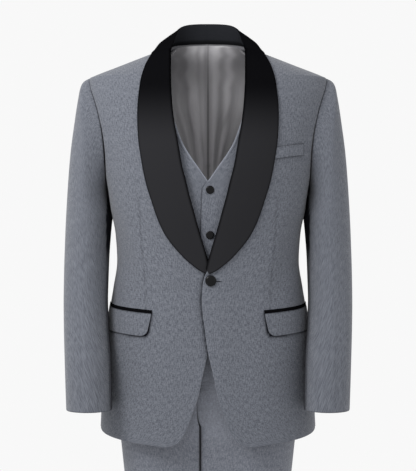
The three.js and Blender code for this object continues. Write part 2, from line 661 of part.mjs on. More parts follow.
function waistcoatFront(side) {
  const overlap = WAISTCOAT_OVERLAP[sideName(side)];
  const cell = (turn, z) => {
    const lap = 1 - smoothStep(20, 70, side * body.point(turn, z).x);
    return { turn, z, lift: WAISTCOAT_LIFT + overlap * lap };
  };
  const across = (startX, startZ, endTurn, endZ, rowZ) => {
    const start = body.frontTurn(startX, startZ);
    const end = body.besideSeam(endTurn, endZ, -1);
    return shares(7).map((share) => cell(side * mix(start, end, share), rowZ(share)));
  };
  const hem = [1, 0.5].map((drop) => across(
    waistcoatEdgeX(-500), -500, 0.5, WAISTCOAT_SIDE_HEM_Z,
    (share) => mix(WAISTCOAT_ROWS_Z[0], frontHemZ(share), drop),
  ));
  const upper = waistcoatOuterRows().map(({ turn, z }) => across(waistcoatEdgeX(z), z, turn, z, () => z));
  const grid = gridOnForm(body, [...hem, ...upper]);
  return clothPiece(`waistcoat_front_${sideName(side)}`, cloth, WAISTCOAT_WALL, grid);
}

function waistcoatBack(side) {
  const top = WAISTCOAT_SHOULDER_ROWS_Z.at(-1);
  const neckZ = (turn) => neckSeamZ(turn) - 3;
  const rows = [{ turn: 0.5, z: null }, ...waistcoatOuterRows()].map(({ turn, z }) => {
    const start = body.besideSeam(1 - turn, z ?? WAISTCOAT_SIDE_HEM_Z, 1);
    const end = body.besideSeam(1, z ?? WAISTCOAT_BACK_HEM_Z, -1);
    return shares(6).map((share) => {
      const at = mix(start, end, share);
      const hem = mix(WAISTCOAT_SIDE_HEM_Z, WAISTCOAT_BACK_HEM_Z, share);
      return { turn: side * at, z: z === null ? hem : risingRow(at, z, top, neckZ), lift: WAISTCOAT_LIFT };
    });
  });
  return clothPiece(`waistcoat_back_${sideName(side)}`, lining, WAISTCOAT_WALL, gridOnForm(body, rows));
}

// The trousers. Along a half of a leg, u runs from the side seam to the rise or the inside seam
const leg = readColumns(LEG_RINGS, ['outer', 'inner', 'front', 'back', 'power']);

function hipArc(side, half, z, u) {
  const facing = half === 'front' ? -1 : 1;
  const seamTurn = side * hips.besideSeam(0.5, z, facing);
  if (half === 'back') return hips.point(mix(seamTurn, side * hips.besideSeam(1, z, -1), u), z);
  const turnIn = 1 - smoothStep(RISE_CURVE_Z.front - 32, RISE_CURVE_Z.front, z);
  const gap = FRONT_TURN_IN.gap * (1 - smoothStep(RISE_CURVE_Z.front - 20, RISE_CURVE_Z.front + 20, z));
  const flyTurn = hips.frontTurn(FLY_OFFSET + side * (SEAM / 2 + gap), z);
  return hips.point(mix(seamTurn, flyTurn, Math.min(u / mix(1, FRONT_TURN_IN.share, turnIn), 1)), z);
}

function legOval(side, half, z, u) {
  const middle = (leg.outer(z) + leg.inner(z)) / 2;
  const width = (leg.outer(z) - leg.inner(z)) / 2;
  const turnsIn = half === 'front' && u > 0.5 ? smoothStep(-900, -760, z) : 0;
  const power = mix(leg.power(z), FRONT_TURN_IN.power, turnsIn);
  const across = Math.cos(Math.PI * u);
  const along = Math.sin(Math.PI * u);
  const reach = (Math.abs(across) ** power + along ** power) ** (-1 / power);
  const out = SEAM / 2 + leg[half](z) * along * reach;
  const towardsFly = half === 'front' ? smoothStep(0, 45, out) * smoothStep(0.4, 1, u) : 0;
  const x = side * (middle + width * across * reach) + FLY_OFFSET * towardsFly * smoothStep(-1050, -800, z);
  return vector(x, half === 'front' ? -out : out, z);
}

// Above the fork the rise curves under from the front or the back to the point between the legs
function trouserPoint(side, half, z, u) {
  const fall = THREE.MathUtils.clamp((RISE_CURVE_Z[half] - z) / (RISE_CURVE_Z[half] - FORK_Z), 0, 1);
  const split = 1 - Math.sqrt(1 - fall ** 2);
  const oval = legOval(side, half, z, u);
  const point = split < 1 ? hipArc(side, half, z, u).lerp(oval, split) : oval;
  const crease = CREASE * Math.max(1 - Math.abs(u - 0.5) * 8, 0) * (1 - smoothStep(-900, -740, z));
  point.y += half === 'front' ? -crease : crease;
  return point;
}

function trouserPanel(side, half) {
  const surface = (u, z) => trouserPoint(side, half, z, u);
  const grid = gridOfSurface(surface, shares(8), TROUSER_ROWS_Z, half === 'front' ? side : -side);
  return clothPiece(`trouser_${half}_${sideName(side)}`, cloth, TROUSER_WALL, grid);
}

function waistband(side) {
  const start = hips.frontTurn(FLY_OFFSET, WAIST_Z);
  const rows = [WAIST_Z + SEAM, WAISTBAND_TOP_Z].map((z) => {
    const from = start + side * 0.0006;
    const to = side * hips.besideSeam(1, z, -1);
    return shares(14).map((share) => ({ turn: mix(from, to, share), z }));
  });
  return clothPiece(`waistband_${sideName(side)}`, cloth, TROUSER_WALL, gridOnForm(hips, rows));
}

const jacket = new THREE.Group();
const waistcoat = new THREE.Group();
const trousers = new THREE.Group();
for (const side of [1, -1]) {
  jacket.add(jacketFront(side), jacketSide(side), jacketBack(side), shawlCollar(side));
  jacket.add(sleevePiece(side, 'sleeve_top', SLEEVE_BACK_SEAM_ANGLE - 360, SLEEVE_FRONT_SEAM_ANGLE));
  jacket.add(sleevePiece(side, 'sleeve_under', SLEEVE_FRONT_SEAM_ANGLE, SLEEVE_BACK_SEAM_ANGLE));
  jacket.add(pocketJet(side), pocketFlap(side));
  waistcoat.add(waistcoatFront(side), waistcoatBack(side));
  trousers.add(trouserPanel(side, 'front'), trouserPanel(side, 'back'), waistband(side));
}
jacket.add(breastWelt());
const onJacketFront = JACKET_OVERLAP.left + JACKET_WALL / 2;
const onWaistcoatFront = WAISTCOAT_LIFT + WAISTCOAT_OVERLAP.left + WAISTCOAT_WALL / 2;
jacket.add(button('jacket_button', JACKET_BUTTON.x, JACKET_BUTTON.z, onJacketFront, JACKET_BUTTON));
WAISTCOAT_BUTTONS.z.forEach((z, i) => {
  waistcoat.add(button(`waistcoat_button_${i + 1}`, WAISTCOAT_BUTTONS.x, z, onWaistcoatFront, WAISTCOAT_BUTTONS));
});

const suit = new THREE.Group();
suit.add(jacket, waistcoat, trousers);

export default suit;
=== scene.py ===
# The looks of a three-piece dinner suit: its cloth, satin, seams, folds, light and camera.
# Sizes are millimetres until a mesh is made, which is in metres. +X is the wearer's left and -Y the front.
# Left and right pieces are mirror images but for the lap at the front, the breast pocket and the folds.
import math

import bpy
import numpy as np
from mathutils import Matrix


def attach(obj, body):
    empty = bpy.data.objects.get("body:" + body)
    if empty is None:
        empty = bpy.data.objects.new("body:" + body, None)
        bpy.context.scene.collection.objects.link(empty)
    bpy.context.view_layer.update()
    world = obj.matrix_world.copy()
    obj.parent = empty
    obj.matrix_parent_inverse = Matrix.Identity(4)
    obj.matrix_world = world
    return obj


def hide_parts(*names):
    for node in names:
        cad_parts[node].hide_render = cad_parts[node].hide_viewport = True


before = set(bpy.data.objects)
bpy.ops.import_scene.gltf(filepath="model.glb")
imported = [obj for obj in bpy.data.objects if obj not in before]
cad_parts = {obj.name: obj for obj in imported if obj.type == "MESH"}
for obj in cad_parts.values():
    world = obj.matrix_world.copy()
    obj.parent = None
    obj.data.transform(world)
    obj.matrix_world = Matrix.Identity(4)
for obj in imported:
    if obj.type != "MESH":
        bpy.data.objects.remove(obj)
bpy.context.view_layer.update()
MM = 0.001

# Camera: straight on to the front, at the height of the picture's middle
CAMERA_DISTANCE = 2.5
CAMERA_HEIGHT = -0.35245
CAMERA_LENS = 100.57

# Walls, in mm
JACKET_WALL = 1.8
COLLAR_WALL = 1.5
SLEEVE_WALL = 1.6
WAISTCOAT_WALL = 1.4
TROUSER_WALL = 1.2
FLAP_WALL = 1.4
JET_WALL = 0.8
WELT_WALL = 1.0

NAMES = {1: "left", -1: "right"}

# Layers, as lifts from the body form
WAISTCOAT_LIFT = -9
JACKET_OVERLAP = {1: 3.6, -1: -2.6}
WAISTCOAT_OVERLAP = {1: 1.2, -1: -1.2}
COLLAR_LIFT = 3.9
LAPEL_SEAM_INSET = 3.3

# Body form: z, half width, front depth, back depth, power
BODY_RINGS = [
    (60, 71, 50, 62.5, 2.0), (3, 71, 52, 62.5, 2.0), (-8, 103, 60, 71, 2.0),
    (-12.8, 116, 62.7, 75.6, 2.0), (-34.3, 171, 76.5, 89, 2.05), (-52.5, 217, 86.2, 97.3, 2.13),
    (-56, 224, 88, 99, 2.15),
    (-75, 225.5, 98, 107, 2.25), (-100, 222, 107, 113, 2.35), (-150, 213, 119, 120, 2.4),
    (-200, 203, 127, 123, 2.4), (-250, 193, 131, 122, 2.4), (-300, 184, 131, 118, 2.4),
    (-350, 174, 129, 113, 2.4), (-400, 171, 127, 110, 2.4), (-450, 178, 127, 113, 2.4),
    (-500, 186, 130, 120, 2.4), (-560, 192, 134, 127, 2.4), (-640, 198, 138, 133, 2.4),
    (-740, 203, 142, 138, 2.4),
]
# Hips and legs: hips as above; legs as z, outer, inner, front, back, power
HIP_RINGS = [
    (-415, 157, 112, 96, 2.4), (-455, 163, 112, 98, 2.4), (-500, 170, 114, 103, 2.4),
    (-545, 174, 115, 110, 2.4), (-600, 175, 115, 118, 2.35), (-650, 171, 112, 121, 2.3),
    (-700, 167, 106, 119, 2.3),
]
LEG_RINGS = [
    (-600, 175, 0.9, 112, 118, 2.9), (-700, 167, 0.9, 106, 119, 2.9), (-760, 161, 0.9, 100, 110, 2.7),
    (-850, 152, 1.5, 90, 97, 2.5), (-1000, 141, 5, 79, 84, 2.25), (-1100, 135, 8, 76, 80, 2.2),
    (-1300, 127, 12, 70, 78, 2.2), (-1510, 121, 15, 64, 78, 2.2),
]
# Sleeve ovals: z, outer, inner, half depth, middle's y
SLEEVE_RINGS = [
    (-51, 231, 186, 58, 4), (-61, 235.5, 186, 60, 4), (-71, 240, 186, 61, 4), (-91, 245, 186, 62, 4),
    (-137, 252.5, 186, 66, 4),
    (-205, 261.5, 192, 70, 4), (-263, 266, 194, 71, 2), (-300, 268, 187, 71, -1), (-320, 268.8, 183.2, 70.5, -4),
    (-345, 269.5, 184.5, 70, -8), (-400, 270, 187, 66, -22), (-460, 269, 187.5, 62, -43),
    (-520, 266, 184, 58, -68), (-570, 262.5, 179, 56, -88), (-620, 259, 176.5, 53, -104),
    (-672, 255.5, 174.5, 50, -117),
]
# Edges and seams
NECK_SEAM = [(0.5, 3), (0.58, 8), (0.7, 13.5), (0.85, 18), (1, 20)]
FRONT_EDGE = [
    (-680, 30.5), (-662, 23.3), (-642, 17.2), (-607, 10), (-560, -0.7), (-522, -6), (-469, -11.4),
    (-445, -10), (-418, -4.3), (-397, 0), (-379, 6.3), (-341, 17.1), (-284, 32.8), (-223, 47.8),
    (-150, 60.7), (-87, 67.1), (-40, 68.8), (3, 69),
]
FRONT_CORNER = [(74, -734, -714), (55.5, -727, -706), (45, -714, -697), (36, -697, -685), (30.5, -680, -671)]
TORSO_ROWS_Z = [-650, -615, -580, -540, -500, -465, -435, -415, -395, -370, -330, -295]
SHOULDER_ROWS_Z = [-56, -52, -44, -32, -19, -9, 1.5]
NECK_POINT_Z = 3
SHOULDER_POINT_Z = -56
SIDE_HEM_Z = -714
BACK_HEM_Z = -717
ARMHOLE = dict(turn=0.5, z=-159.5, front=0.147, back=0.16, height=103.5)
ARMHOLE_GAP = (0.001, 0.5)
ARMHOLE_STEP = 18
FRONT_SEAM_ANGLE = 162
BACK_SEAM_ANGLE = 234
CUFF_Z = -667.5
SLEEVE_FRONT_SEAM_ANGLE = 162
SLEEVE_BACK_SEAM_ANGLE = 252
CAP_BLEND = (8, 120)
UNDERARM_LIFT = 2.3
SIDE_GAP = 2.4
CAP_RISE = 2.2

# Shawl collar on the chest: roll x, roll z, outer x, outer z
LAPEL_STATIONS = [
    (-3.5, -414, 2.5, -422), (-1.2, -404, 18, -414), (5, -382, 45, -391), (17.1, -341, 73, -357),
    (25, -312, 89.5, -324), (32.8, -284, 101.5, -289), (40.5, -252, 111.5, -256), (47.8, -223, 119, -220),
    (55.2, -180, 125.3, -179), (60.7, -150, 127.5, -143), (64.8, -118, 127.3, -110),
    (67.5, -80, 123.5, -72), (68.3, -60, 119.8, -54), (68.7, -40, 114.5, -37), (69, -12, 107, -20),
]
# Shawl collar round the neck: fold, seam point or the turn where it meets the neck seam, outer edge, bulge
COLLAR_STATIONS = [
    ((69, -27, -1), (71.3, -28, -2), (105, -28, -8), 3),
    ((67.5, -8, 8), (71.2, -9, 3.5), (104, -12, -5), 5),
    ((65, 6, 17), 0.53, (103, 2, -4), 7),
    ((61.5, 20, 30), 0.6, (102, 17, -4.5), 8),
    ((55.5, 35, 43.5), 0.69, (95, 37, -4.5), 7),
    ((42, 50, 52.5), 0.79, (75, 55, -4), 5),
    ((22, 61, 56.5), 0.9, (38, 67, 1), 3),
    ((0, 64.5, 57.5), 1, (0, 69.5, 6), 2),
]
ROLL_RADIUS = 2.2
SEAM = 0.3
# Grid steps between two rows of a table, and across the lapel
ROW_STEPS = 7
LAPEL_STEPS = 6

# Edges thin out over this width. Seams sink in, and are darkened with painted shade, as depth or share and width.
EDGE_ROUNDING = 1.4
SEAM_GROOVE = (0.55, 1.5)
SEAM_PAINTED_SHADE = (0.85, 1.1)
# A shell's flat length is reckoned as at least this many metres, though nothing uses it. The pocket jet alone is
# less: it is 6 mm high.
LEAST_FLAT_LENGTH = 0.011

# Waistcoat
WAISTCOAT_EDGE = [
    (-500, -14), (-342, -13.9), (-308, -13.2), (-268, -11.4), (-251, 2), (-231, 15.5), (-209, 31.1),
    (-183, 46.8), (-158, 56.3), (-138, 63), (-100, 71.5), (-60, 77), (3, 79),
]
WAISTCOAT_ARMHOLE = dict(turn=0.5, z=-163, front=0.19, back=0.17, height=141)
WAISTCOAT_ARMHOLE_STEP = 20
WAISTCOAT_SIDE_HEM_Z = -492
WAISTCOAT_FRONT_HEM = [(0, -502), (2 / 7, -543), (1, WAISTCOAT_SIDE_HEM_Z)]
WAISTCOAT_ROWS_Z = [-478, -440, -400, -352]
WAISTCOAT_SHOULDER_ROWS_Z = [-14, -6, -1]

# Trousers
WAIST_Z = -455
WAISTBAND_TOP_Z = -415
FORK_Z = -700
TROUSER_HEM_Z = -1510
RISE_CURVE_Z = {"front": -610, "back": -590}
FLY_OFFSET = -22
CREASE = 3
TURN_IN_SHARE = 0.75

# Hip pockets, breast welt and buttons
POCKET = dict(front_x=101.4, back_turn=0.468, front_z=-494, back_z=-482.5, length=145)
POCKET_JET_HEIGHT = 6
POCKET_FLAP_HEIGHT = 42
FLAP_CORNER = 14
FLAP_SLANT = 4.5
WELT = dict(inner_x=116, outer_x=175, inner_z=-192.5, outer_z=-182.5, height=22.5)
# Buttons: x, z, radius, height, and for the waistcoat x, radius, height
JACKET_BUTTON = (5, -434, 10, 5)
WAISTCOAT_BUTTON_Z = [-270, -352, -413, -472]
WAISTCOAT_BUTTON = (3.7, 7.5, 2.6)

# The edge of the painted shade in the dark hollow between body and sleeve, as (z, x), and the sleeve's own edge
# beside it, inward of which the sleeve is painted dark
UNDERARM_EDGE = [(-318, 180), (-295, 182.3), (-272, 185), (-249, 188.8), (-215, 196), (-190, 203)]
SLEEVE_SHADOW_X = 191

# Darts down the jacket fronts, as (z, x)
DART = [(-480, 112.6), (-439, 114), (-395, 118.5), (-351.5, 122), (-302, 125), (-270, 130.5)]

# Folds. On panels: x0, z0, x1, z1, half width, height. Heights below 0 are troughs.
FRONT_FOLDS = {
    1: [
        (168, -300, 122, -470, 15, -1.5), (150, -285, 108, -440, 13, 0.9), (60, -405, 16, -430, 9, -0.7),
        (70, -452, 18, -441, 9, -0.7), (190, -120, 168, -240, 14, -1.3), (160, -560, 150, -700, 22, -1.2),
        (95, -560, 92, -705, 24, 1.1), (60, -500, 45, -640, 18, -0.7),
    ],
    -1: [
        (172, -310, 128, -462, 13, -1.2), (150, -300, 116, -430, 14, 0.8), (52, -400, 14, -428, 9, -0.6),
        (84, -458, 20, -443, 10, -0.8), (188, -130, 166, -250, 13, -1.1), (150, -570, 146, -700, 20, -1.0),
        (88, -570, 82, -708, 22, 1.0), (48, -520, 38, -650, 17, -0.6),
    ],
}
WAISTCOAT_FOLDS = [
    (60, -330, 10, -352, 8, -0.7), (52, -372, 8, -355, 8, -0.6), (70, -250, 40, -330, 12, 0.8),
]
BACK_FOLDS = {
    1: [
        (40, -70, 120, -95, 16, -1.2), (175, -110, 150, -300, 17, -1.8), (150, -110, 128, -300, 15, 1.3),
        (130, -330, 40, -400, 16, -1.5), (140, -370, 60, -440, 15, 1.1), (60, -480, 52, -700, 24, -1.6),
        (120, -500, 125, -700, 24, 1.5), (20, -120, 20, -330, 16, -0.9),
    ],
    -1: [
        (48, -66, 130, -92, 15, -1.1), (178, -120, 148, -290, 16, -1.6), (152, -120, 124, -310, 15, 1.2),
        (124, -340, 30, -392, 15, -1.4), (138, -380, 66, -446, 15, 1.0), (66, -490, 60, -700, 25, -1.5),
        (128, -510, 130, -700, 22, 1.4), (24, -140, 26, -320, 16, -0.8),
    ],
}
# On sleeves: angle0, z0, angle1, z1, half width in mm, height. A degree round is about this many mm.
DEGREE = 0.95
SLEEVE_FOLDS = {
    1: [
        (60, -90, 75, -300, 12, -1.3), (40, -120, 45, -620, 13, 1.3), (100, -330, 30, -385, 9, -1.5),
        (120, -370, 50, -425, 9, -1.3), (95, -300, 40, -345, 9, 1.0), (75, -420, 70, -650, 12, -1.2),
        (15, -150, 10, -640, 14, -1.0), (-60, -120, -70, -330, 14, -1.5), (-100, -350, -40, -420, 11, -1.6),
        (-95, -400, -35, -470, 10, -1.3), (-80, -470, -85, -650, 14, 1.2), (20, -70, -30, -84, 12, 0.7),
    ],
    -1: [
        (58, -95, 72, -280, 12, -1.2), (38, -110, 42, -640, 13, 1.2), (105, -345, 25, -400, 9, -1.4),
        (118, -385, 55, -440, 9, -1.2), (98, -310, 45, -352, 9, 1.0), (80, -430, 78, -650, 12, -1.1),
        (12, -170, 12, -620, 14, -0.9), (-58, -130, -66, -320, 14, -1.4), (-105, -360, -45, -432, 11, -1.5),
        (-92, -410, -30, -476, 10, -1.3), (-82, -480, -88, -650, 14, 1.1), (22, -72, -28, -86, 12, 0.7),
    ],
}
TROUSER_FOLDS = {
    "front": {
        1: [
            (20, -640, 95, -690, 9, -1.6), (18, -665, 80, -735, 9, -1.4), (30, -600, 120, -640, 11, -0.9),
            (-6, -500, -10, -690, 7, 1.4), (60, -1050, 120, -1085, 16, -1.3), (50, -1110, 115, -1130, 15, -1.1),
            (60, -1440, 105, -1470, 16, -1.6), (50, -1475, 100, -1490, 12, 1.2),
        ],
        -1: [
            (34, -640, 100, -695, 9, -1.5), (32, -668, 84, -740, 9, -1.3), (40, -600, 125, -645, 11, -0.9),
            (60, -1060, 122, -1090, 16, -1.3), (48, -1118, 110, -1140, 15, -1.1),
            (58, -1436, 104, -1464, 16, -1.5), (50, -1472, 98, -1488, 12, 1.1),
        ],
    },
    "back": {
        1: [
            (15, -690, 120, -655, 12, -2.2), (20, -715, 125, -690, 11, -1.8), (25, -745, 110, -735, 11, -1.4),
            (50, -1040, 110, -1020, 15, -2.0), (45, -1075, 115, -1065, 13, -1.6),
            (50, -1110, 105, -1118, 14, -1.3),
            (50, -1450, 105, -1425, 16, -1.5),
        ],
        -1: [
            (15, -688, 116, -652, 12, -2.1), (22, -718, 128, -694, 11, -1.7), (28, -748, 108, -740, 11, -1.3),
            (52, -1046, 112, -1028, 15, -1.9), (44, -1080, 112, -1072, 13, -1.5),
            (52, -1116, 100, -1126, 14, -1.2),
            (48, -1446, 102, -1420, 16, -1.4),
        ],
    },
}
# Waistcoat back, whose inside shows as grey lining: folds that draw together towards the front's V,
# as distance from the centre at the top, half width, height towards the eye
LINING_FOLDS = {
    1: [(16, 10, 2.0), (30, 7, -0.9), (44, 10, 1.2), (60, 9, -1.2), (90, 12, -1.4)],
    -1: [(13, 6, 0.9), (20, 5, -0.5), (33, 12, 2.6), (52, 9, -1.4), (62, 8, 0.6), (80, 10, -1.4)],
}
LINING_DRAW = 0.45
LINING_TACK_Z = -214
LINING_CREASES = {
    1: [(66, -50, 24, -150, 5, -1.0), (28, -110, 12, -215, 4, -0.8), (44, -130, 22, -200, 4, 0.7)],
    -1: [(62, -55, 26, -165, 5, -1.2), (24, -120, 8, -225, 4, 0.8), (14, -150, 5, -235, 4, -1.0)],
}


def mix(a, b, share):
    return a + (b - a) * share


def smooth_step(low, high, value):
    share = np.clip((np.asarray(value, float) - low) / (high - low), 0, 1)
    return share * share * (3 - 2 * share)


def bell(distance, width, power=2):
    """1 at distance 0, falling smoothly to nothing past the width"""
    return np.exp(-((distance / width) ** power))


def monotone(table, column=1, by=0):
    """A monotone cubic through one column of a table, read by another column"""
    rows = sorted(table, key=lambda row: row[by])
    at = np.array([row[by] for row in rows], float)
    value = np.array([row[column] for row in rows], float)
    width = np.diff(at)
    rise = np.diff(value) / width
    slope = np.zeros_like(at)
    slope[0], slope[-1] = rise[0], rise[-1]
    for i in range(1, len(at) - 1):
        if rise[i - 1] * rise[i] > 0:
            before = 2 * width[i] + width[i - 1]
            after = width[i] + 2 * width[i - 1]
            slope[i] = (before + after) / (before / rise[i - 1] + after / rise[i])

    def read(x):
        x = np.clip(np.asarray(x, float), at[0], at[-1])
        i = np.clip(np.searchsorted(at, x, side="right") - 1, 0, len(at) - 2)
        s = (x - at[i]) / width[i]
        return (
            (1 + 2 * s) * (1 - s) ** 2 * value[i]
            + s * (1 - s) ** 2 * width[i] * slope[i]
            + s * s * (3 - 2 * s) * value[i + 1]
            + s * s * (s - 1) * width[i] * slope[i + 1]
        )

    return read


class RingForm:
    """Level rings. Turn 0 is the centre front, 0.5 the left side, 1 the centre back"""

    def __init__(self, table):
        self.half, self.front, self.back, self.power = (monotone(table, column) for column in (1, 2, 3, 4))

    def point(self, turn, z):
        turn, z = np.broadcast_arrays(np.asarray(turn, float), np.asarray(z, float))
        power = self.power(z)
        across, along = np.sin(np.pi * turn), np.cos(np.pi * turn)
        reach = (np.abs(across) ** power + np.abs(along) ** power) ** (-1 / power)
        depth = np.where(along >= 0, self.front(z), self.back(z))
        return np.stack([self.half(z) * across * reach, -depth * along * reach, z], -1)

    def front_turn(self, x, z):
        power = self.power(z)
        across = np.clip(x / self.half(z), -1, 1)
        return np.arctan2(across, (1 - np.abs(across) ** power) ** (1 / power)) / np.pi

    def normal(self, turn, z):
        round_step, up_step = 1e-3, 0.5
        around = self.point(turn + round_step, z) - self.point(turn - round_step, z)
        up = self.point(turn, z + up_step) - self.point(turn, z - up_step)
        return unit(np.cross(around, up))

    def speed(self, turn, z):
        step = 1e-3
        return np.linalg.norm(self.point(turn + step, z) - self.point(turn - step, z), axis=-1) / (2 * step)


def unit(vectors):
    return vectors / np.maximum(np.linalg.norm(vectors, axis=-1, keepdims=True), 1e-12)


body = RingForm(BODY_RINGS)
hips = RingForm(HIP_RINGS)
front_edge_x = monotone(FRONT_EDGE)
neck_seam_z = monotone(NECK_SEAM)
waistcoat_edge_x = monotone(WAISTCOAT_EDGE)
sleeve_outer, sleeve_inner, sleeve_depth, sleeve_y = (monotone(SLEEVE_RINGS, c) for c in (1, 2, 3, 4))
leg = {name: monotone(LEG_RINGS, c) for c, name in enumerate(("outer", "inner", "front", "back", "power"), 1)}


def spread(length, step, edge=(0.6, 1.6, 3.2)):
    """Shares from 0 to 1 about a step apart, with closer ones next to both ends"""
    near = [0, *edge]
    count = max(int(round((length - 2 * edge[-1]) / step)), 2)
    middle = np.linspace(edge[-1], length - edge[-1], count)
    values = np.concatenate([near[:-1], middle, length - np.array(near[:-1][::-1])])
    return values / length


def refine(table, step_count):
    """A table of rows resampled smoothly, with step_count steps between each pair of rows"""
    table = np.asarray(table, float)
    index = np.arange(len(table))
    at = np.linspace(0, len(table) - 1, (len(table) - 1) * step_count + 1)
    return np.stack([monotone(list(zip(index, table[:, c])))(at) for c in range(table.shape[1])], -1)


def catmull(points, steps):
    """Rows of points with a smooth curve through them along the first axis"""
    points = np.asarray(points, float)
    padded = np.concatenate([2 * points[:1] - points[1:2], points, 2 * points[-1:] - points[-2:-1]])
    out = []
    for i in range(1, len(padded) - 2):
        a, b, c, d = padded[i - 1 : i + 3]
        for s in np.arange(steps) / steps:
            bend = (2 * a - 5 * b + 4 * c - d) * s**2 + (3 * b - a - 3 * c + d) * s**3
            out.append(0.5 * (2 * b + (c - a) * s + bend))
    return np.array([*out, padded[-2]])


def line_folds(folds, across, z):
    """The height of a set of straight soft folds at each point"""
    height = np.zeros(np.broadcast(across, z).shape)
    for x0, z0, x1, z1, width, rise in folds:
        along = np.array([x1 - x0, z1 - z0], float)
        length = np.linalg.norm(along)
        share = ((across - x0) * along[0] + (z - z0) * along[1]) / length**2
        off = ((across - x0) * along[1] - (z - z0) * along[0]) / length
        ends = smooth_step(-0.2, 0.25, share) * (1 - smooth_step(0.75, 1.2, share))
        height += rise * ends * bell(off, width)
    return height


def row_lengths(points):
    return np.linalg.norm(np.diff(points, axis=1), axis=-1).sum(axis=1)


def cloth_places(points):
    """How far each point of a grid is along its row and up its column"""
    across = np.linalg.norm(np.diff(points, axis=1), axis=-1)
    up = np.linalg.norm(np.diff(points, axis=0), axis=-1)
    from_left = np.concatenate([np.zeros((points.shape[0], 1)), np.cumsum(across, axis=1)], 1)
    from_bottom = np.concatenate([np.zeros((1, points.shape[1])), np.cumsum(up, axis=0)], 0)
    return from_left, from_bottom


def to_border(points, sides):
    """How far each point of a grid is from the chosen borders, along its row or column"""
    left, bottom = cloth_places(points)
    distances = {"l": left, "r": left[:, -1:] - left, "b": bottom, "t": bottom[-1:] - bottom}
    return np.minimum.reduce([distances[s] for s in sides])


def grid_normals(points, outward):
    across = np.gradient(points, axis=1)
    up = np.gradient(points, axis=0)
    return unit(np.cross(across, up)) * outward


def shell(name, node, points, normals, wall, materials, cut, seams="", shade=None, rounded="lrbt"):
    """A closed wall about a grid of points in mm, which replaces a CAD node"""
    rows, columns = points.shape[:2]
    from_left, from_bottom = cloth_places(points)
    thick = wall * (0.45 + 0.55 * np.sqrt(np.clip(to_border(points, rounded) / EDGE_ROUNDING, 0, 1)))
    shade = np.zeros((rows, columns)) if shade is None else shade
    if seams:
        to_seam = to_border(points, seams)
        points = points - normals * (SEAM_GROOVE[0] * bell(to_seam, SEAM_GROOVE[1]))[..., None]
        # Painted shade along the seams, as if the grooves were in shadow
        shade = np.maximum(shade, SEAM_PAINTED_SHADE[0] * bell(to_seam, SEAM_PAINTED_SHADE[1]))
    half = normals * (thick / 2)[..., None]
    verts = np.concatenate([(points + half).reshape(-1, 3), (points - half).reshape(-1, 3)]) * MM
    count = rows * columns
    corner = np.arange(count).reshape(rows, columns)
    a, b, c, d = corner[:-1, :-1], corner[:-1, 1:], corner[1:, 1:], corner[1:, :-1]
    outer = np.stack([a, b, c, d], -1).reshape(-1, 4)
    inner = outer[:, ::-1] + count
    loop = np.concatenate([corner[0, :], corner[1:, -1], corner[-1, -2::-1], corner[-2:0:-1, 0]])
    nxt = np.roll(loop, -1)
    rim = np.stack([nxt, loop, loop + count, nxt + count], -1)
    faces = np.concatenate([outer, inner, rim])
    across = np.cross(verts[outer[:, 1]] - verts[outer[:, 0]], verts[outer[:, 3]] - verts[outer[:, 0]])
    if (across * normals[:-1, :-1].reshape(-1, 3)).sum() < 0:
        faces = faces[:, ::-1]
    mesh = bpy.data.meshes.new(name)
    mesh.from_pydata(verts.tolist(), [], faces.tolist())
    uv = mesh.uv_layers.new(name="cloth")
    flat = np.stack([from_left, from_bottom], -1).reshape(-1, 2) * MM
    vertex = np.empty(len(mesh.loops), dtype=np.int32)
    mesh.loops.foreach_get("vertex_index", vertex)
    uv.data.foreach_set("uv", flat[vertex % count].reshape(-1))
    for material in materials:
        mesh.materials.append(material)
    slots = np.zeros(len(faces), dtype=np.int32)
    slots[len(outer) : 2 * len(outer)] = len(materials) - 1
    mesh.polygons.foreach_set("material_index", slots)
    obj = finish_mesh(name, mesh, node, 50)
    paint(obj, "shade", shade)
    length = max(row_lengths(points.transpose(1, 0, 2)).max() * MM, LEAST_FLAT_LENGTH)
    return obj


def panel(side, name, points, normals, wall, materials, held, rests_on, **looks):
    """A left or right shell: its node is the name without the cloth's. The nodes of its own side that it would
    rest on are not used.
    """
    hand = NAMES[side]
    cut = dict(held=held, rests_on=[f"{other}_{hand}" for other in rests_on])
    node = name.split("_", 1)[1]
    return shell(f"{name}_{hand}", f"{node}_{hand}", points, normals, wall, materials, cut, **looks)


def paint(obj, name, values):
    """A value at each point of a shell, the same on its two faces"""
    layer = obj.data.attributes.get(name) or obj.data.attributes.new(name, "FLOAT", "POINT")
    layer.data.foreach_set("value", np.concatenate([values.reshape(-1)] * 2))


def finish_mesh(name, mesh, node, smooth_angle):
    mesh.shade_smooth()
    mesh.set_sharp_from_angle(angle=math.radians(smooth_angle))
    obj = bpy.data.objects.new(name, mesh)
    bpy.context.scene.collection.objects.link(obj)
    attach(obj, "root")
    if node:
        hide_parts(node)
    return obj


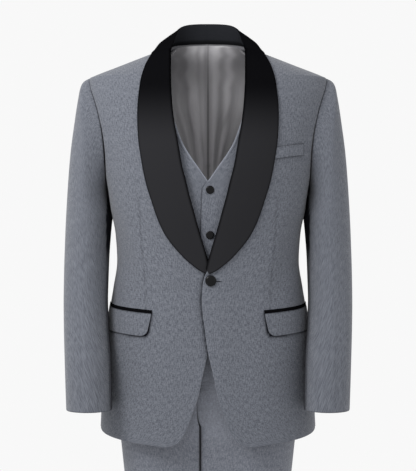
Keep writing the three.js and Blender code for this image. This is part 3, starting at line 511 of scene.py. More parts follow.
# Materials
class Look:
    """A principled material, with short ways to add nodes and to join them"""

    def __init__(self, name):
        self.material = bpy.data.materials.new(name)
        self.material.use_nodes = True
        self.tree = self.material.node_tree
        self.shader = self.tree.nodes["Principled BSDF"]

    def put(self, node, key, value):
        """Give an input a value, or another node's output"""
        if isinstance(value, bpy.types.NodeSocket):
            self.tree.links.new(value, node.inputs[key])
        else:
            node.inputs[key].default_value = value

    def add(self, kind, **inputs):
        made = self.tree.nodes.new(f"ShaderNode{kind}")
        for key, value in inputs.items():
            self.put(made, key.replace("_", " "), value)
        return made

    def finish(self, **inputs):
        for key, value in inputs.items():
            self.put(self.shader, key.replace("_", " "), value)
        return self.material

    def attribute(self, name):
        made = self.add("Attribute")
        made.attribute_name = name
        return made.outputs["Fac"]

    def place(self, **mapping):
        """The place on the flat cloth, stretched or turned"""
        uv = self.add("UVMap")
        uv.uv_map = "cloth"
        return self.add("Mapping", Vector=uv.outputs[0], **mapping).outputs[0]

    def flecks(self, across, along, scale, detail=2.0, roughness=0.6):
        """Noise drawn out along one way of the cloth"""
        place = self.place(Scale=(across, along, 1.0))
        return self.add("TexNoise", Vector=place, Scale=scale, Detail=detail, Roughness=roughness).outputs["Fac"]

    def ramp(self, value, **limits):
        return self.add("MapRange", Value=value, **limits).outputs[0]

    def mix(self, a, b, factor):
        made = self.add("Mix")
        made.data_type = "RGBA"
        for socket, value in ((0, factor), (6, a), (7, b)):
            self.put(made, socket, value)
        return made.outputs[2]

    def bump(self, height, strength, distance, **under):
        return self.add("Bump", Height=height, Strength=strength, Distance=distance, **under).outputs[0]


def wool(name, dark, light):
    """A fine twill of two greys, mottled like heathered wool. Where the shade attribute is set, shade is painted
    onto it, in seams, under the arms and in cast shadows; where the lit attribute is set, light and highlights are
    painted onto it
    """
    look = Look(name)
    turned = look.place(Rotation=(0, 0, math.radians(58)))
    twill = look.add("TexWave", Vector=turned, Scale=390.0, Distortion=1.0, Detail=2.0, Detail_Scale=2.0)
    twill = twill.outputs["Fac"]
    warp = look.flecks(1.0, 0.22, 600.0)
    weft = look.flecks(0.3, 1.0, 600.0)
    cloud = look.flecks(1.0, 0.6, 110.0)
    warped, wefted = (look.mix(dark, light, look.ramp(yarn, From_Min=0.4, From_Max=0.6)) for yarn in (warp, weft))
    clouded = look.mix(dark, light, look.ramp(cloud, From_Min=0.25, From_Max=0.75))
    blended = look.mix(look.mix(warped, wefted, 0.4), clouded, 0.1)
    twilled = look.mix(blended, look.mix(blended, light, twill), 0.25)
    # A painted highlight colour for lit places, and painted shade towards near black, with shine and sheen fading
    # out where shade is painted
    highlight_colour = tuple(min(1.9 * c, 1.0) for c in light[:3]) + (1.0,)
    shade = look.attribute("shade")
    highlighted = look.mix(twilled, highlight_colour, look.attribute("lit"))
    ribs = look.bump(twill, 0.35, 0.0004)
    return look.finish(
        Base_Color=look.mix(highlighted, PAINTED_SHADE_BLACK, shade),
        Specular_IOR_Level=look.ramp(shade, To_Min=0.25, To_Max=0.0),
        Sheen_Weight=look.ramp(shade, To_Min=0.18, To_Max=0.0),
        Normal=look.bump(warp, 0.5, 0.0006, Normal=ribs),
        Roughness=0.92,
        Sheen_Roughness=0.5,
    )


def satin(name, colour, streak, roughness, specular, reflection_colour=None):
    """A close satin with fine long floats along the cloth, darkened where shade is painted. Further down it may
    turn to a lighter black, a painted reflection of the light in front.
    """
    look = Look(name)
    floats = look.flecks(1.0, 0.06, 900.0, 3.0, 0.65)
    base = look.mix(colour, streak, floats)
    if reflection_colour:
        base = look.mix(base, reflection_colour, look.attribute("painted_reflection"))
    # Painted shade turns the satin towards a quarter of its colour
    dark = tuple(0.25 * c for c in colour[:3]) + (1.0,)
    return look.finish(
        Base_Color=look.mix(base, dark, look.attribute("shade")),
        Normal=look.bump(floats, 0.12, 0.0003),
        Roughness=roughness,
        Specular_IOR_Level=specular,
    )


# The near black that painted shade turns cloth towards
PAINTED_SHADE_BLACK = (0.006, 0.006, 0.008, 1)
WOOL = wool("wool_twill", (0.044, 0.049, 0.064, 1), (0.155, 0.165, 0.191, 1))
# A lit copy of the same twill: the trousers' cloth is painted lighter, as they catch more light
LIT_TROUSER_WOOL = wool("trouser_twill", (0.052, 0.058, 0.075, 1), (0.18, 0.19, 0.22, 1))
WOOL_INSIDE = satin("jacket_lining", (0.10, 0.10, 0.11, 1), (0.14, 0.14, 0.15, 1), 0.5, 0.3)
# The collar's black satin: the lighter black it turns to further down is a painted reflection
BLACK_SATIN = satin("black_satin", (0.0022, 0.0022, 0.0026, 1), (0.004, 0.004, 0.0048, 1), 0.6, 0.0,
                    (0.019, 0.019, 0.021, 1))
COLLAR_STAND = satin("collar_stand", (0.009, 0.0096, 0.012, 1), (0.016, 0.017, 0.02, 1), 0.9, 0.05)
# The waistcoat's grey lining, painted lighter than its real mid grey to make up for the dim light inside the
# waistcoat
LIT_GREY_LINING = satin("grey_lining_lit", (0.5, 0.49, 0.515, 1), (0.68, 0.67, 0.695, 1), 0.38, 0.5)
BUTTON_SATIN = satin("button_satin", (0.002, 0.002, 0.0025, 1), (0.0045, 0.0045, 0.005, 1), 0.22, 0.14)
LINED_WOOL = [WOOL, WOOL_INSIDE]
LINED_LIT_TROUSER_WOOL = [LIT_TROUSER_WOOL, WOOL_INSIDE]


# Jacket
def armhole(angle, hole=ARMHOLE, gap=(0, 0)):
    angle = np.asarray(angle, float)
    reach = np.where((angle > 180) | (angle < 0), hole["back"], hole["front"])
    turn = hole["turn"] - (reach - gap[0]) * np.sin(np.radians(angle))
    z = hole["z"] + (hole["height"] - gap[1]) * np.cos(np.radians(angle))
    return turn, z


def jacket_lift(side, turn, z):
    x = body.point(turn, z)[..., 0]
    return JACKET_OVERLAP[side] * (1 - smooth_step(15, 75, x * side)) * (1 - smooth_step(-400, -260, z))


def on_body(side, x, z, lift):
    turn = side * body.front_turn(x, z)
    lift = np.asarray(lift + jacket_lift(side, turn, z))
    return body.point(turn, z) + body.normal(turn, z) * lift[..., None]


def hem_z(turn):
    return mix(SIDE_HEM_Z, BACK_HEM_Z, smooth_step(0.5, 1, np.abs(turn)))


def dart_shade(x, z):
    """The dart's seam down a front, as a groove and a painted shade"""
    dart_x = monotone(DART)
    inside = smooth_step(-492, -486, z) * (1 - smooth_step(-300, -255, z))
    return inside * bell(x - dart_x(z), 1.3)


def pocket_shade(x, z, turn):
    """The painted soft shadow round a hip pocket's flap"""
    start = body.front_turn(POCKET["front_x"], POCKET["front_z"])
    share = (turn - start) / (POCKET["back_turn"] - start)
    top = mix(POCKET["front_z"], POCKET["back_z"], share)
    down = np.clip((top - z) / POCKET_FLAP_HEIGHT, 0, 1)
    below = (top - POCKET_FLAP_HEIGHT) - z
    ahead = FLAP_SLANT * down - share * POCKET["length"]
    beside = np.hypot(np.maximum(ahead + FLAP_CORNER * 0.5, 0), np.maximum(below + FLAP_CORNER * 0.5, 0))
    beside = np.where((ahead > -FLAP_CORNER * 0.5) & (below > -FLAP_CORNER * 0.5), beside - FLAP_CORNER * 0.5,
                      np.maximum(ahead, below))
    near = bell(np.maximum(beside, 0), 1.7)
    soft = bell(np.maximum(beside, 0), 6)
    return (0.85 * near + 0.15 * soft) * (z < top) * (share < 1.02)


def wedge_shade(x, z):
    """Painted shade for the dark hollow under the arm, beside the line where the sleeve parts from the body"""
    edge = monotone(UNDERARM_EDGE)(z)
    level = smooth_step(-335, -320, z) * smooth_step(-195, -215, z)
    return 0.97 * smooth_step(edge - 0.5, edge + 0.6, x) * level


def jacket_front(side):
    seam_turn = armhole(FRONT_SEAM_ANGLE)[0]
    table = [(x, z, seam_turn, side_z) for x, z, side_z in FRONT_CORNER]
    level = [(z, seam_turn) for z in TORSO_ROWS_Z]
    angles = np.arange(ARMHOLE_STEP, FRONT_SEAM_ANGLE + 1, ARMHOLE_STEP)[::-1]
    level += [(armhole(a)[1], armhole(a)[0]) for a in angles]
    level += [(z, 0.5) for z in SHOULDER_ROWS_Z]
    inset = lambda z: LAPEL_SEAM_INSET * smooth_step(-428, -412, z)
    table += [(front_edge_x(z) + inset(z), z, turn, z) for z, turn in level]
    rows = refine(table, ROW_STEPS)
    x, z, end_turn, end_z = rows.T
    corner = z < -680
    x = np.where(corner, x, front_edge_x(z) + inset(z))
    start = body.front_turn(x, z)
    end = end_turn - SEAM / 2 / body.speed(end_turn, end_z)
    u = spread(235, 3.4)
    turn = side * mix(start[:, None], end[:, None], u)
    level_z = mix(z[:, None], end_z[:, None], u)
    normal = body.normal(turn, level_z)
    base = body.point(turn, level_z)
    x_own = base[..., 0] * side
    dart = dart_shade(x_own, level_z)
    fade = smooth_step(0, 25, to_border(base, "lr"))
    lift = jacket_lift(side, turn, level_z) + line_folds(FRONT_FOLDS[side], x_own, level_z) * fade
    lift = lift - 0.35 * dart
    # Painted shade in the dart and round the pocket flap
    shade = np.maximum(0.3 * dart, pocket_shade(x_own, level_z, turn * side))
    if side > 0:
        # A painted shadow in the notch above the button, where the lapels end
        shade = np.maximum(shade, 0.85 * bell(x_own - 1.5, 4) * bell(level_z + 427, 5))
    else:
        # A painted shadow cast on the right front by the edge of the left front that laps over it
        past_edge = np.maximum(x_own + front_edge_x(level_z), 0)
        left_front_shadow = 0.8 * bell(past_edge, 1.7) + 0.22 * bell(past_edge, 8)
        left_front_shadow = left_front_shadow * smooth_step(-620, -600, level_z) * smooth_step(-405, -420, level_z)
        shade = np.maximum(shade, left_front_shadow)
    shade = np.maximum(shade, wedge_shade(x_own, level_z))
    points = base + normal * lift[..., None]
    panel(side, "cloth_jacket_front", points, normal, JACKET_WALL, LINED_WOOL, "hung", ["shawl_collar"],
          seams="r", shade=shade)


def jacket_side(side):
    u = spread(80, 3.4)
    angle = mix(FRONT_SEAM_ANGLE, BACK_SEAM_ANGLE, u)
    turn, top = armhole(angle)
    v = spread(490, 4.5)[:, None]
    z = mix(hem_z(turn), top, v)
    inset = (SEAM / 2 / body.speed(turn, z)) * (1 - 2 * u) ** 9
    turn = side * (turn + inset)
    normal = body.normal(turn, z)
    fade = smooth_step(0, 16, to_border(body.point(turn, z), "lr"))
    drape = 1.2 * np.sin((np.abs(turn) - 0.46) * 38) * smooth_step(-480, -640, z) * fade
    points = body.point(turn, z) + normal * np.asarray(drape)[..., None]
    # Painted shade on the side panel under the sleeve and in the hollow under the arm
    under_sleeve_shade = 0.85 * smooth_step(-345, -290, z) * smooth_step(0, 0.3, u)
    shade = np.maximum(under_sleeve_shade, wedge_shade(points[..., 0] * side, z))
    panel(side, "cloth_jacket_side", points, normal, JACKET_WALL, LINED_WOOL, "hung", ["jacket_front"],
          seams="lr", shade=shade)


def rising(turn, z, top_z, seam_z):
    share = np.maximum((z - SHOULDER_POINT_Z) / (top_z - SHOULDER_POINT_Z), 0)
    return z + share**2 * (seam_z(turn) - seam_z(0.5))


def jacket_back(side):
    seam_turn = float(armhole(BACK_SEAM_ANGLE)[0])
    table = [(seam_turn, z) for z in (-716, -685, *TORSO_ROWS_Z, float(armhole(FRONT_SEAM_ANGLE)[1]))]
    angles = np.arange(BACK_SEAM_ANGLE, 360 - ARMHOLE_STEP + 1, ARMHOLE_STEP)
    table += [tuple(float(value) for value in armhole(a)) for a in angles]
    table += [(0.5, z) for z in (*SHOULDER_ROWS_Z[:-1], NECK_POINT_Z)]
    start, z = refine(table, ROW_STEPS).T
    hem = np.clip((z + 716) / 31, 0, 1)[:, None]
    inset = SEAM / 2 / body.speed(start, z)
    u = spread(230, 4)
    turn = mix((start + inset)[:, None], 1, u)
    level = rising(turn, z[:, None], NECK_POINT_Z, neck_seam_z)
    level = np.where(hem < 1, mix(hem_z(turn), -685, hem), level)
    turn = side * turn
    normal = body.normal(turn, level)
    base = body.point(turn, level)
    fade = smooth_step(0, 25, to_border(base, "lr"))
    lift = line_folds(BACK_FOLDS[side], base[..., 0] * side, level) * fade
    points = base + normal * lift[..., None]
    normal[:, -1, 0] = 0
    panel(side, "cloth_jacket_back", points, normal, JACKET_WALL, LINED_WOOL, "hung", ["shawl_collar"],
          seams="lrt", rounded="lbt")


def lapel_section(side, roll_x, roll_z, outer_x, outer_z):
    narrow = float(smooth_step(5, 40, outer_x - roll_x))

    def at(offset, lift):
        return on_body(side, roll_x + offset, roll_z, lift)

    def across(share, lift):
        return on_body(side, mix(roll_x, outer_x, share), mix(roll_z, outer_z, share), lift)

    crown = mix(COLLAR_LIFT, 4.8, narrow)
    return [
        at(1.9, 0.1), at(0.4, 0.6), at(0, mix(1.5, 2.1, narrow)), at(0.7, mix(2.8, 3.8, narrow)),
        across(0.07 + 0.2 * (1 - narrow), crown),
        across(0.25 + 0.2 * (1 - narrow), mix(COLLAR_LIFT, 4.6, narrow)),
        across(0.5 + 0.1 * (1 - narrow), mix(COLLAR_LIFT, 4.3, narrow)),
        across(0.76, mix(COLLAR_LIFT, 4, narrow)), across(1, COLLAR_LIFT),
    ]


def collar_section(side, fold, seam, outer, bulge):
    mirror = np.array([side, 1, 1])
    fold_point, outer_point = np.array(fold) * mirror, np.array(outer) * mirror
    if isinstance(seam, tuple):
        seam_point = np.array(seam) * mirror
    else:
        seam_point = body.point(side * seam, neck_seam_z(seam) + SEAM + 0.4)
    fall = unit(outer_point - fold_point)
    stand = unit(seam_point - fold_point)
    outward = unit(fall - stand)
    down = unit(fall + stand)
    turned = lambda below, out: fold_point + (down * below + outward * out) * ROLL_RADIUS
    start = turned(1.2, 1.3)
    along = lambda share: mix(start, outer_point, share) + outward * bulge * math.sin(math.pi * share)
    return [
        seam_point, mix(seam_point, turned(1.6, -1), 0.55), turned(0, 0), turned(0.1, 0.9), start,
        along(0.25), along(0.5), along(0.76), outer_point,
    ]


def shawl_collar(side):
    stations = [lapel_section(side, *row) for row in LAPEL_STATIONS]
    stations += [collar_section(side, *row) for row in COLLAR_STATIONS]
    along = catmull(stations, ROW_STEPS)
    points = catmull(along.transpose(1, 0, 2), LAPEL_STEPS).transpose(1, 0, 2)
    normal = grid_normals(points, side)
    points[-1, :, 0] = 0
    normal[-1, :, 0] = 0
    normal = unit(normal)
    # Painted shade as dark lines along the collar's outer edge and its rolled inner edge
    shade = np.maximum(0.8 * bell(to_border(points, "r"), 1.8), 0.85 * bell(to_border(points, "l"), 7.2, 6))
    obj = panel(side, "satin_shawl_collar", points, normal, COLLAR_WALL, [BLACK_SATIN, BLACK_SATIN],
                "folded", ["jacket_front", "jacket_back"], shade=shade, rounded="lrb")
    # A painted reflection: the collar turns to a lighter black between z -70 and -190 mm, where it faces the front
    paint(obj, "painted_reflection", smooth_step(-70, -190, points[..., 2]))
    stand_columns = 13
    rows, columns = points.shape[:2]
    neck_start = ROW_STEPS * (len(LAPEL_STATIONS) + 1)
    obj.data.materials.append(COLLAR_STAND)
    for row in range(neck_start, rows - 1):
        for column in range(stand_columns):
            face = row * (columns - 1) + column
            obj.data.polygons[face].material_index = 2
            obj.data.polygons[face + (rows - 1) * (columns - 1)].material_index = 2


def sleeve_oval(angle, z):
    middle = (sleeve_outer(z) + sleeve_inner(z)) / 2
    half = (sleeve_outer(z) - sleeve_inner(z)) / 2
    across, forward = np.cos(np.radians(angle)), np.sin(np.radians(angle))
    z = z + 0 * across
    return np.stack([middle + half * across, sleeve_y(z) - sleeve_depth(z) * forward, z], -1)


def sleeve_point(angle, share):
    angle, share = np.broadcast_arrays(np.asarray(angle, float), np.asarray(share, float))
    behind = smooth_step(148, 164, np.mod(angle, 360)) * smooth_step(350, 325, np.mod(angle, 360))
    turn, seam_z = armhole(angle, ARMHOLE, tuple(gap * (1 - behind) for gap in ARMHOLE_GAP))
    low = (1 - np.cos(np.radians(angle))) / 2
    lift = UNDERARM_LIFT * smooth_step(0.3, 0.75, low) * (1 - 0.8 * behind)
    seam_z = seam_z + CAP_RISE * (1 - low) ** 2
    start = body.point(turn, seam_z) + body.normal(turn, seam_z) * lift[..., None]
    z = mix(seam_z, CUFF_Z, share)
    reach = mix(*CAP_BLEND, low)
    blend = np.maximum(1 - (seam_z - z) / reach, 0) ** 2
    return sleeve_oval(angle, z) + (start - sleeve_oval(angle, seam_z)) * blend[..., None]


def against_side(points, angle):
    """The back of the sleeve lies against the side of the body just below the armhole"""
    x, y, z = (points[..., c] for c in range(3))
    forward = np.clip(np.maximum(y, 0) / body.back(z), 0, 1)
    power = body.power(z)
    body_x = body.half(z) * (1 - forward**power) ** (1 / power)
    share = smooth_step(-332, -306, z) * smooth_step(-230, -262, z)
    share = share * smooth_step(178, 202, angle) * smooth_step(248, 222, angle)
    close = mix(x, np.minimum(x, body_x + SIDE_GAP), share)
    return np.stack([close, y, z], -1)


def sleeve(side, name, start, end):
    width = 210 if name == "sleeve_top" else 120
    angle = mix(start + 0.02, end - 0.02, spread(width, 3.2))
    share = spread(600, 4.2)[:, None] ** 1.15
    points = against_side(sleeve_point(angle, share), angle)
    # Painted shade: the sleeve is painted dark where it passes inward of the hollow under the arm, on its front
    # and inner side
    hollow = smooth_step(SLEEVE_SHADOW_X + 0.5, SLEEVE_SHADOW_X - 0.9, points[..., 0])
    hollow = hollow * smooth_step(-430, -370, points[..., 2]) * smooth_step(-215, -250, points[..., 2])
    hollow = hollow * smooth_step(215, 195, angle)
    points = points * np.array([side, 1, 1])
    normal = grid_normals(points, side)
    z = points[..., 2]
    seam_fade = smooth_step(0, 14, to_border(points, "lrb"))
    folds = [(a0 * DEGREE, z0, a1 * DEGREE, z1, *size) for a0, z0, a1, z1, *size in SLEEVE_FOLDS[side]]
    height = line_folds(folds, angle * DEGREE + 0 * z, z)
    points = points + normal * (height * seam_fade)[..., None]
    # Painted shade along the inner side that faces the body, and a painted dark line along the cuff's edge
    inward = bell(angle - 178, mix(20, 30, smooth_step(-420, -300, z)))
    cuff = bell(to_border(points, "t"), 1.2)
    shade = np.maximum(np.maximum(0.9 * inward * smooth_step(-110, -190, z), 0.97 * hollow), 0.45 * cuff)
    panel(side, f"cloth_{name}", points, normal, SLEEVE_WALL, LINED_WOOL, "hung", ["jacket_front", "jacket_back"],
          seams="lrb", shade=shade)


# Pockets and buttons
ON_JACKET = JACKET_WALL / 2 + SEAM


def pocket_grid(side, step):
    start = body.front_turn(POCKET["front_x"], POCKET["front_z"])
    share = spread(POCKET["length"], step, (0.4, 1.2, 2.5))
    return start, share, side * mix(start, POCKET["back_turn"], share)


def pocket_jet(side):
    _, share, turn = pocket_grid(side, 4)
    up = spread(POCKET_JET_HEIGHT, 1.2, (0.2, 0.6, 1.2))[:, None]
    z = mix(POCKET["front_z"], POCKET["back_z"], share) + up * POCKET_JET_HEIGHT
    normal = body.normal(turn, z)
    lift = jacket_lift(side, turn, z) + ON_JACKET + 0.4 + 0.5 * np.sin(np.pi * up)
    points = body.point(turn, z) + normal * lift[..., None]
    panel(side, "satin_pocket_jet", points, normal, JET_WALL, [BLACK_SATIN], "stretched", ["jacket_front"])


def pocket_flap(side):
    start, share, turn = pocket_grid(side, 3)
    down = spread(POCKET_FLAP_HEIGHT, 3, (0.4, 1.2, 2.5))[::-1][:, None]
    inset = POCKET["length"] * share
    in_corner = np.maximum(FLAP_CORNER - inset, 0)
    turn = turn + side * (POCKET["back_turn"] - start) * FLAP_SLANT / POCKET["length"] * down * (1 - share)
    rise = FLAP_CORNER - np.sqrt(np.maximum(FLAP_CORNER**2 - in_corner**2, 0))
    z = mix(POCKET["front_z"], POCKET["back_z"], share) - SEAM - down * (POCKET_FLAP_HEIGHT - rise)
    normal = body.normal(turn, z)
    lift = jacket_lift(side, turn, z) + ON_JACKET + 0.7 + 0.9 * down * smooth_step(0, 0.3, share)
    points = body.point(turn, z) + normal * lift[..., None]
    # Painted shade as dark outlines round the flap's edges
    shade = 0.7 * bell(to_border(points, "lrb"), 0.7) + 0.6 * bell(to_border(points, "t"), 1.3)
    panel(side, "cloth_pocket_flap", points, normal, FLAP_WALL, [WOOL], "hung", ["pocket_jet"],
          shade=np.minimum(shade, 1))


def breast_welt():
    share = spread(60, 3, (0.4, 1.2, 2.5))
    down = spread(WELT["height"], 2.5, (0.4, 1.2, 2.5))[::-1][:, None]
    z = mix(WELT["inner_z"], WELT["outer_z"], share) - down * WELT["height"]
    turn = body.front_turn(mix(WELT["inner_x"], WELT["outer_x"], share) + 0 * z, z)
    normal = body.normal(turn, z)
    points = body.point(turn, z) + normal * (ON_JACKET + 1.0)
    # Painted shade as dark outlines round the welt's edges
    shade = 0.6 * bell(to_border(points, "rbt"), 1.3)
    cut = dict(held="stretched", rests_on=["jacket_front_left"])
    shell("cloth_breast_welt", "breast_welt", points, normal, WELT_WALL, [WOOL], cut, shade=shade)


def ring_faces(rings, segments, closed):
    """Quads between rings of points, and from the last ring to the first where it is closed"""
    faces = []
    for ring in range(rings if closed else rings - 1):
        low, high = ring * segments, (ring + 1) % rings * segments
        for k in range(segments):
            n = (k + 1) % segments
            faces.append((low + k, low + n, high + n, high + k))
    return faces


def lathe(name, node, x, z, lift, radius, height):
    """A domed button covered in satin"""
    segments = 48
    profile = [(0.72, 0), (0.9, 0.1), (0.98, 0.3), (1, 0.45), (0.97, 0.62), (0.88, 0.78), (0.72, 0.89),
               (0.5, 0.96), (0.25, 0.99)]
    turn = float(body.front_turn(x, z))
    out = body.normal(turn, z)
    across = unit(np.cross([0, 0, 1], out))
    up = np.cross(out, across)
    centre = body.point(turn, z) + out * (lift + SEAM)
    angle = 2 * np.pi * np.arange(segments)[:, None] / segments
    spokes = across * np.cos(angle) + up * np.sin(angle)
    rings = []
    for share, rise in profile:
        pucker = 1 + 0.012 * np.sin(12 * angle) * (rise < 0.5)
        rings.append(centre + spokes * share * radius * pucker + out * rise * height)
    verts = np.concatenate([*rings, [centre, centre + out * height]])
    faces = ring_faces(len(profile), segments, False)
    bottom, last = len(profile) * segments, (len(profile) - 1) * segments
    for k in range(segments):
        n = (k + 1) % segments
        faces += [(bottom, n, k), (bottom + 1, last + k, last + n)]
    mesh = bpy.data.meshes.new(name)
    mesh.from_pydata((verts * MM).tolist(), [], faces)
    uv = mesh.uv_layers.new(name="cloth")
    flat = np.stack([(verts - centre) @ across, (verts - centre) @ up], -1) * MM
    for loop in mesh.loops:
        uv.data[loop.index].uv = flat[loop.vertex_index].tolist()
    mesh.materials.append(BUTTON_SATIN)
    return finish_mesh(name, mesh, node, 40)


def buttonhole():
    """The worked end of the buttonhole, which shows beside the jacket's button"""
    steps, sides = 40, 8
    centre_x, centre_z, half_length, half_height, thread = 17.5, -435.2, 6.5, 0.4, 0.45
    verts = []
    for angle in 2 * np.pi * np.arange(steps) / steps:
        x = centre_x + half_length * math.cos(angle)
        z = centre_z + half_height * math.sin(angle)
        turn = float(body.front_turn(x, z))
        out = body.normal(turn, z)
        middle = body.point(turn, z) + out * (float(jacket_lift(1, turn, z)) + JACKET_WALL / 2 + 0.1)
        away = unit(np.array([x - centre_x, 0, (z - centre_z) * 8]) + 1e-6)
        for around in 2 * np.pi * np.arange(sides) / sides:
            verts.append(middle + (away * math.cos(around) + out * math.sin(around)) * thread)
    mesh = bpy.data.meshes.new("buttonhole_thread")
    mesh.from_pydata((np.array(verts) * MM).tolist(), [], ring_faces(steps, sides, True))
    mesh.uv_layers.new(name="cloth")
    mesh.materials.append(COLLAR_STAND)
    finish_mesh("buttonhole_thread", mesh, None, 60)


# Waistcoat
def waistcoat_rows():
    rows = [(0.5, z) for z in WAISTCOAT_ROWS_Z]
    angles = np.arange(0, 181, WAISTCOAT_ARMHOLE_STEP)[::-1]
    rows += [tuple(float(value) for value in armhole(a, WAISTCOAT_ARMHOLE)) for a in angles]
    return rows + [(0.5, z) for z in WAISTCOAT_SHOULDER_ROWS_Z]


def waistcoat_front(side):
    rows = refine(waistcoat_rows(), ROW_STEPS)
    outer_turn, z = rows.T
    (u0, z0), (u1, z1), (u2, z2) = WAISTCOAT_FRONT_HEM
    u = spread(200, 3.6)
    hem = np.where(u < u1, mix(z0, z1, u / u1), mix(z1, z2, (u - u1) / (1 - u1)))
    down = np.linspace(1, 0, 12, endpoint=False)[:, None]
    lower_z = mix(WAISTCOAT_ROWS_Z[0], hem, down)
    start = body.front_turn(waistcoat_edge_x(z), z)
    end = outer_turn - SEAM / 2 / body.speed(outer_turn, z)
    hem_start = float(body.front_turn(waistcoat_edge_x(-500), -500))
    hem_end = 0.5 - SEAM / 2 / float(body.speed(0.5, WAISTCOAT_SIDE_HEM_Z))
    turn = np.concatenate([mix(hem_start, hem_end, u) + 0 * lower_z, mix(start[:, None], end[:, None], u)])
    level = np.concatenate([lower_z, z[:, None] + 0 * u])
    turn = side * turn
    base = body.point(turn, level)
    lap = 1 - smooth_step(20, 70, side * base[..., 0])
    normal = body.normal(turn, level)
    folds = line_folds(WAISTCOAT_FOLDS, base[..., 0] * side, level) * smooth_step(0, 12, to_border(base, "l"))
    lift = WAISTCOAT_LIFT + WAISTCOAT_OVERLAP[side] * lap + folds
    points = base + normal * lift[..., None]
    to_edge = to_border(points, "l")
    in_neck = smooth_step(-262, -250, level)
    # A dark line 4.6 mm inside the V's edge, and painted shade along the front edge below the V
    dark_edge_lines = 0.75 * bell(to_edge - 4.6, 1.0) * in_neck
    dark_edge_lines = np.maximum(dark_edge_lines, 0.8 * bell(to_edge, 1.2) * smooth_step(-250, -262, level))
    obj = panel(side, "cloth_waistcoat_front", points, normal, WAISTCOAT_WALL, [WOOL, LIT_GREY_LINING],
                "hung", ["waistcoat_back"], seams="r", shade=dark_edge_lines)
    # A painted highlight along the V's edge, where it catches the light
    paint(obj, "lit", 0.4 * bell(to_edge, 2.6, 4) * in_neck)


def ease_rows(values, share, rounds=70):
    """Soften a grid up its columns, by the share given at each point"""
    values = values.copy()
    weight = (0.5 * share + np.zeros((len(values), 1)))[1:-1, :, None]
    for _ in range(rounds):
        values[1:-1] += weight * ((values[:-2] + values[2:]) / 2 - values[1:-1])
    return values


def waistcoat_back(side):
    rows = refine([(0.5, WAISTCOAT_SIDE_HEM_Z), *waistcoat_rows()], ROW_STEPS)
    outer_turn, z = rows.T
    u = spread(200, 2.6)
    start = 1 - outer_turn + SEAM / 2 / body.speed(0.5, z)
    turn = mix(start[:, None], 1, u)
    top = WAISTCOAT_SHOULDER_ROWS_Z[-1]
    level = rising(turn, z[:, None], top, lambda t: neck_seam_z(t) - 3)
    turn = side * turn
    base = body.point(turn, level)
    normal = body.normal(turn, level)
    x = base[..., 0] * side
    drawn = x / mix(1, LINING_DRAW, smooth_step(-40, -250, level)) - 2 * np.sin(level / 85)
    height = np.zeros_like(x)
    for centre, width, rise in LINING_FOLDS[side]:
        height += rise * bell(drawn - centre, width)
    height += line_folds(LINING_CREASES[side], x, level)
    pucker = 0.9 * np.sin(x / 3.1) * bell(level - neck_seam_z(np.abs(turn)) + 8, 9)
    fade = smooth_step(0, 10, to_border(base, "lr")) * smooth_step(0, 8, to_border(base, "t"))
    # The folds stand inwards, where they show and where there is room
    lift = WAISTCOAT_LIFT - 0.7 * (height + 2.2 + pucker) * fade * smooth_step(-400, -330, level)
    points = ease_rows(base + normal * lift[..., None], smooth_step(-130, -90, level))
    normal = unit(ease_rows(normal, smooth_step(-130, -90, level)))
    obj = panel(side, "satin_waistcoat_back", points, normal, WAISTCOAT_WALL, [LIT_GREY_LINING],
                "hung", ["waistcoat_front"], rounded="lbt")
    # Painted shade: along the centre-back seam and at the tack, under the collar band at the top, and in the
    # troughs of the folds, painted less dark on the right side, which takes more light
    seam = np.maximum(bell(to_border(points, "r"), 2.3), bell(x, 3.4) * bell(level - LINING_TACK_Z, 3))
    band_shadow = 0.6 * smooth_step(-100, -10, level) + 0.15 * bell(to_border(points, "t"), 7)
    hollow_shade = 0.66 * smooth_step(2.2, -1.0, height) * (level > -330) - (0.16 if side < 0 else 0.04)
    paint(obj, "shade", np.clip(np.maximum(seam, 1 - (1 - band_shadow) * (1 - hollow_shade)), 0, 1))


# Trousers
def turned_in(z):
    """1 where the front's inner edge turns in between the legs, 0 above the fork's curve"""
    return 1 - smooth_step(RISE_CURVE_Z["front"] - 32, RISE_CURVE_Z["front"], z)


def hip_arc(side, half, z, u):
    facing = -1 if half == "front" else 1
    seam_turn = side * (0.5 + facing * SEAM / 2 / hips.speed(0.5, z))
    if half == "back":
        return hips.point(mix(seam_turn, side, u), z)
    gap = 0.2 * (1 - smooth_step(RISE_CURVE_Z["front"] - 20, RISE_CURVE_Z["front"] + 20, z))
    end = hips.front_turn(FLY_OFFSET + side * (SEAM / 2 + gap), z)
    return hips.point(mix(seam_turn, end, np.minimum(u / mix(1, TURN_IN_SHARE, turned_in(z)), 1)), z)


def leg_oval(side, half, z, u):
    middle = (leg["outer"](z) + leg["inner"](z)) / 2
    width = (leg["outer"](z) - leg["inner"](z)) / 2
    turns_in = smooth_step(-930, -800, z) * (u > 0.5) * (half == "front")
    power = mix(leg["power"](z), 20, turns_in)
    across, along = np.cos(np.pi * u), np.sin(np.pi * u)
    reach = (np.abs(across) ** power + np.abs(along) ** power) ** (-1 / power)
    out = SEAM / 2 + leg[half](z) * along * reach
    fly = smooth_step(0, 45, out) * smooth_step(0.4, 1, u) * smooth_step(-1050, -800, z)
    x = side * (middle + width * across * reach) + (FLY_OFFSET * fly if half == "front" else 0)
    return np.stack([x, -out if half == "front" else out, z + 0 * x], -1)


def trouser_point(side, half, z, u):
    u, z = np.broadcast_arrays(np.asarray(u, float), np.asarray(z, float))
    top = RISE_CURVE_Z[half]
    fall = np.clip((top - z) / (top - FORK_Z), 0, 1)
    split = (1 - np.sqrt(1 - fall**2))[..., None]
    points = mix(hip_arc(side, half, z, u), leg_oval(side, half, z, u), split)
    crease = CREASE * bell(u - 0.5, 0.035) * (1 - smooth_step(-900, -740, z))
    points[..., 1] += -crease if half == "front" else crease
    return points


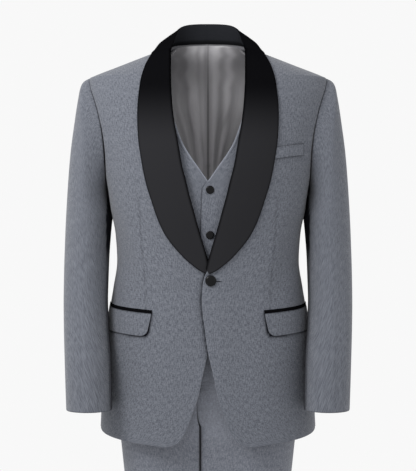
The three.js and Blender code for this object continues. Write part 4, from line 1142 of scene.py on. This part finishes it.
def trouser_panel(side, half):
    u = spread(290, 4)
    if half == "front":
        near = TURN_IN_SHARE + np.array([-0.06, -0.045, -0.03, -0.02, -0.012, -0.006, 0, 0.006, 0.012, 0.02, 0.03])
        u = np.sort(np.concatenate([u[np.abs(u - TURN_IN_SHARE + 0.015) > 0.05], near]))
    z = mix(TROUSER_HEM_Z, WAIST_Z, spread(WAIST_Z - TROUSER_HEM_Z, 6.5))[:, None]
    points = trouser_point(side, half, z, u)
    outward = side if half == "front" else -side
    normal = grid_normals(points, -outward)
    facing = -1 if half == "front" else 1
    if (normal[..., 1] * facing).sum() < 0:
        normal = -normal
    fade = smooth_step(0, 14, to_border(points, "lrt")) * smooth_step(0.05, 0.5, np.abs(normal[..., 1]))
    height = line_folds(TROUSER_FOLDS[half][side], points[..., 0] * side, points[..., 2])
    points = points + normal * (height * fade)[..., None]
    corner = mix(1, TURN_IN_SHARE, turned_in(z))
    # Painted shade on the part of the front that turns in between the legs
    shade = 0.9 * smooth_step(corner, corner + 0.02, u) * (half == "front") * smooth_step(-1000, -900, z)
    obj = panel(side, f"cloth_trouser_{half}", points, normal, TROUSER_WALL, LINED_LIT_TROUSER_WOOL,
                "hung", ["waistband"], seams="lr", shade=shade)
    if half == "front":
        # Painted light on the upper fronts, strongest above z -695, in the V between the jacket's fronts, where
        # they lie in its shade
        z = points[..., 2]
        paint(obj, "lit", mix(0.05, 0.26, smooth_step(-750, -695, z)) * smooth_step(-900, -760, z))


def waistband(side):
    start = float(hips.front_turn(FLY_OFFSET, WAIST_Z)) + side * 0.0006
    z = mix(WAIST_Z + SEAM, WAISTBAND_TOP_Z, spread(40, 3))[:, None]
    turn = mix(start, side, spread(420, 5)) + 0 * z
    normal = hips.normal(turn, z)
    panel(side, "cloth_waistband", hips.point(turn, z), normal, TROUSER_WALL, LINED_LIT_TROUSER_WOOL,
          "stretched", ["trouser_front", "trouser_back"], seams="b")
for side in (1, -1):
    jacket_front(side)
    jacket_side(side)
    jacket_back(side)
    shawl_collar(side)
    sleeve(side, "sleeve_top", SLEEVE_BACK_SEAM_ANGLE - 360, SLEEVE_FRONT_SEAM_ANGLE)
    sleeve(side, "sleeve_under", SLEEVE_FRONT_SEAM_ANGLE, SLEEVE_BACK_SEAM_ANGLE)
    pocket_jet(side)
    pocket_flap(side)
    waistcoat_front(side)
    waistcoat_back(side)
    trouser_panel(side, "front")
    trouser_panel(side, "back")
    waistband(side)
breast_welt()
lathe("satin_jacket_button", "jacket_button", JACKET_BUTTON[0], JACKET_BUTTON[1],
      JACKET_OVERLAP[1] + JACKET_WALL / 2, JACKET_BUTTON[2], JACKET_BUTTON[3])
for k, z in enumerate(WAISTCOAT_BUTTON_Z, 1):
    lathe(f"satin_waistcoat_button_{k}", f"waistcoat_button_{k}", WAISTCOAT_BUTTON[0], z,
          WAISTCOAT_LIFT + WAISTCOAT_OVERLAP[1] + WAISTCOAT_WALL / 2, WAISTCOAT_BUTTON[1], WAISTCOAT_BUTTON[2])
buttonhole()

# Camera, light and floor
camera = bpy.data.cameras.new("camera")
camera.lens = CAMERA_LENS
camera.sensor_width = 36
camera_object = bpy.data.objects.new("camera", camera)
camera_object.location = (0, -CAMERA_DISTANCE, CAMERA_HEIGHT)
camera_object.rotation_euler = (math.radians(90), 0, 0)
bpy.context.scene.collection.objects.link(camera_object)
bpy.context.scene.camera = camera_object


def area_light(name, place, target, size, power):
    light = bpy.data.lights.new(name, "AREA")
    light.shape = "RECTANGLE"
    light.size, light.size_y = size
    light.energy = power
    obj = bpy.data.objects.new(name, light)
    obj.location = place
    aim = np.array(target, float) - np.array(place, float)
    flat = math.hypot(aim[0], aim[1])
    obj.rotation_euler = (math.atan2(flat, -aim[2]), 0, math.atan2(-aim[0], aim[1]))
    bpy.context.scene.collection.objects.link(obj)


area_light("key", (-0.9, -1.0, 0.5), (-0.05, -0.1, -0.3), (0.6, 0.6), 18.5)
area_light("fill", (1.5, -1.9, 0.0), (0.1, 0, -0.3), (1.0, 1.4), 2)

bpy.context.scene.view_settings.view_transform = "Standard"
world = bpy.data.worlds.new("studio")
bpy.context.scene.world = world
world.use_nodes = True
world.node_tree.nodes["Background"].inputs["Color"].default_value = (0.94, 0.94, 0.94, 1)
world.node_tree.nodes["Background"].inputs["Strength"].default_value = 1.0

floor_mesh = bpy.data.meshes.new("floor")
reach, low = 2.2, -1.516
floor_mesh.from_pydata([(-reach, -reach, low), (reach, -reach, low), (reach, reach, low), (-reach, reach, low)],
                       [], [(0, 1, 2, 3)])
floor = bpy.data.objects.new("floor", floor_mesh)
bpy.context.scene.collection.objects.link(floor)
floor_mesh.materials.append(Look("floor").finish(Base_Color=(0.8, 0.8, 0.8, 1), Roughness=0.8))
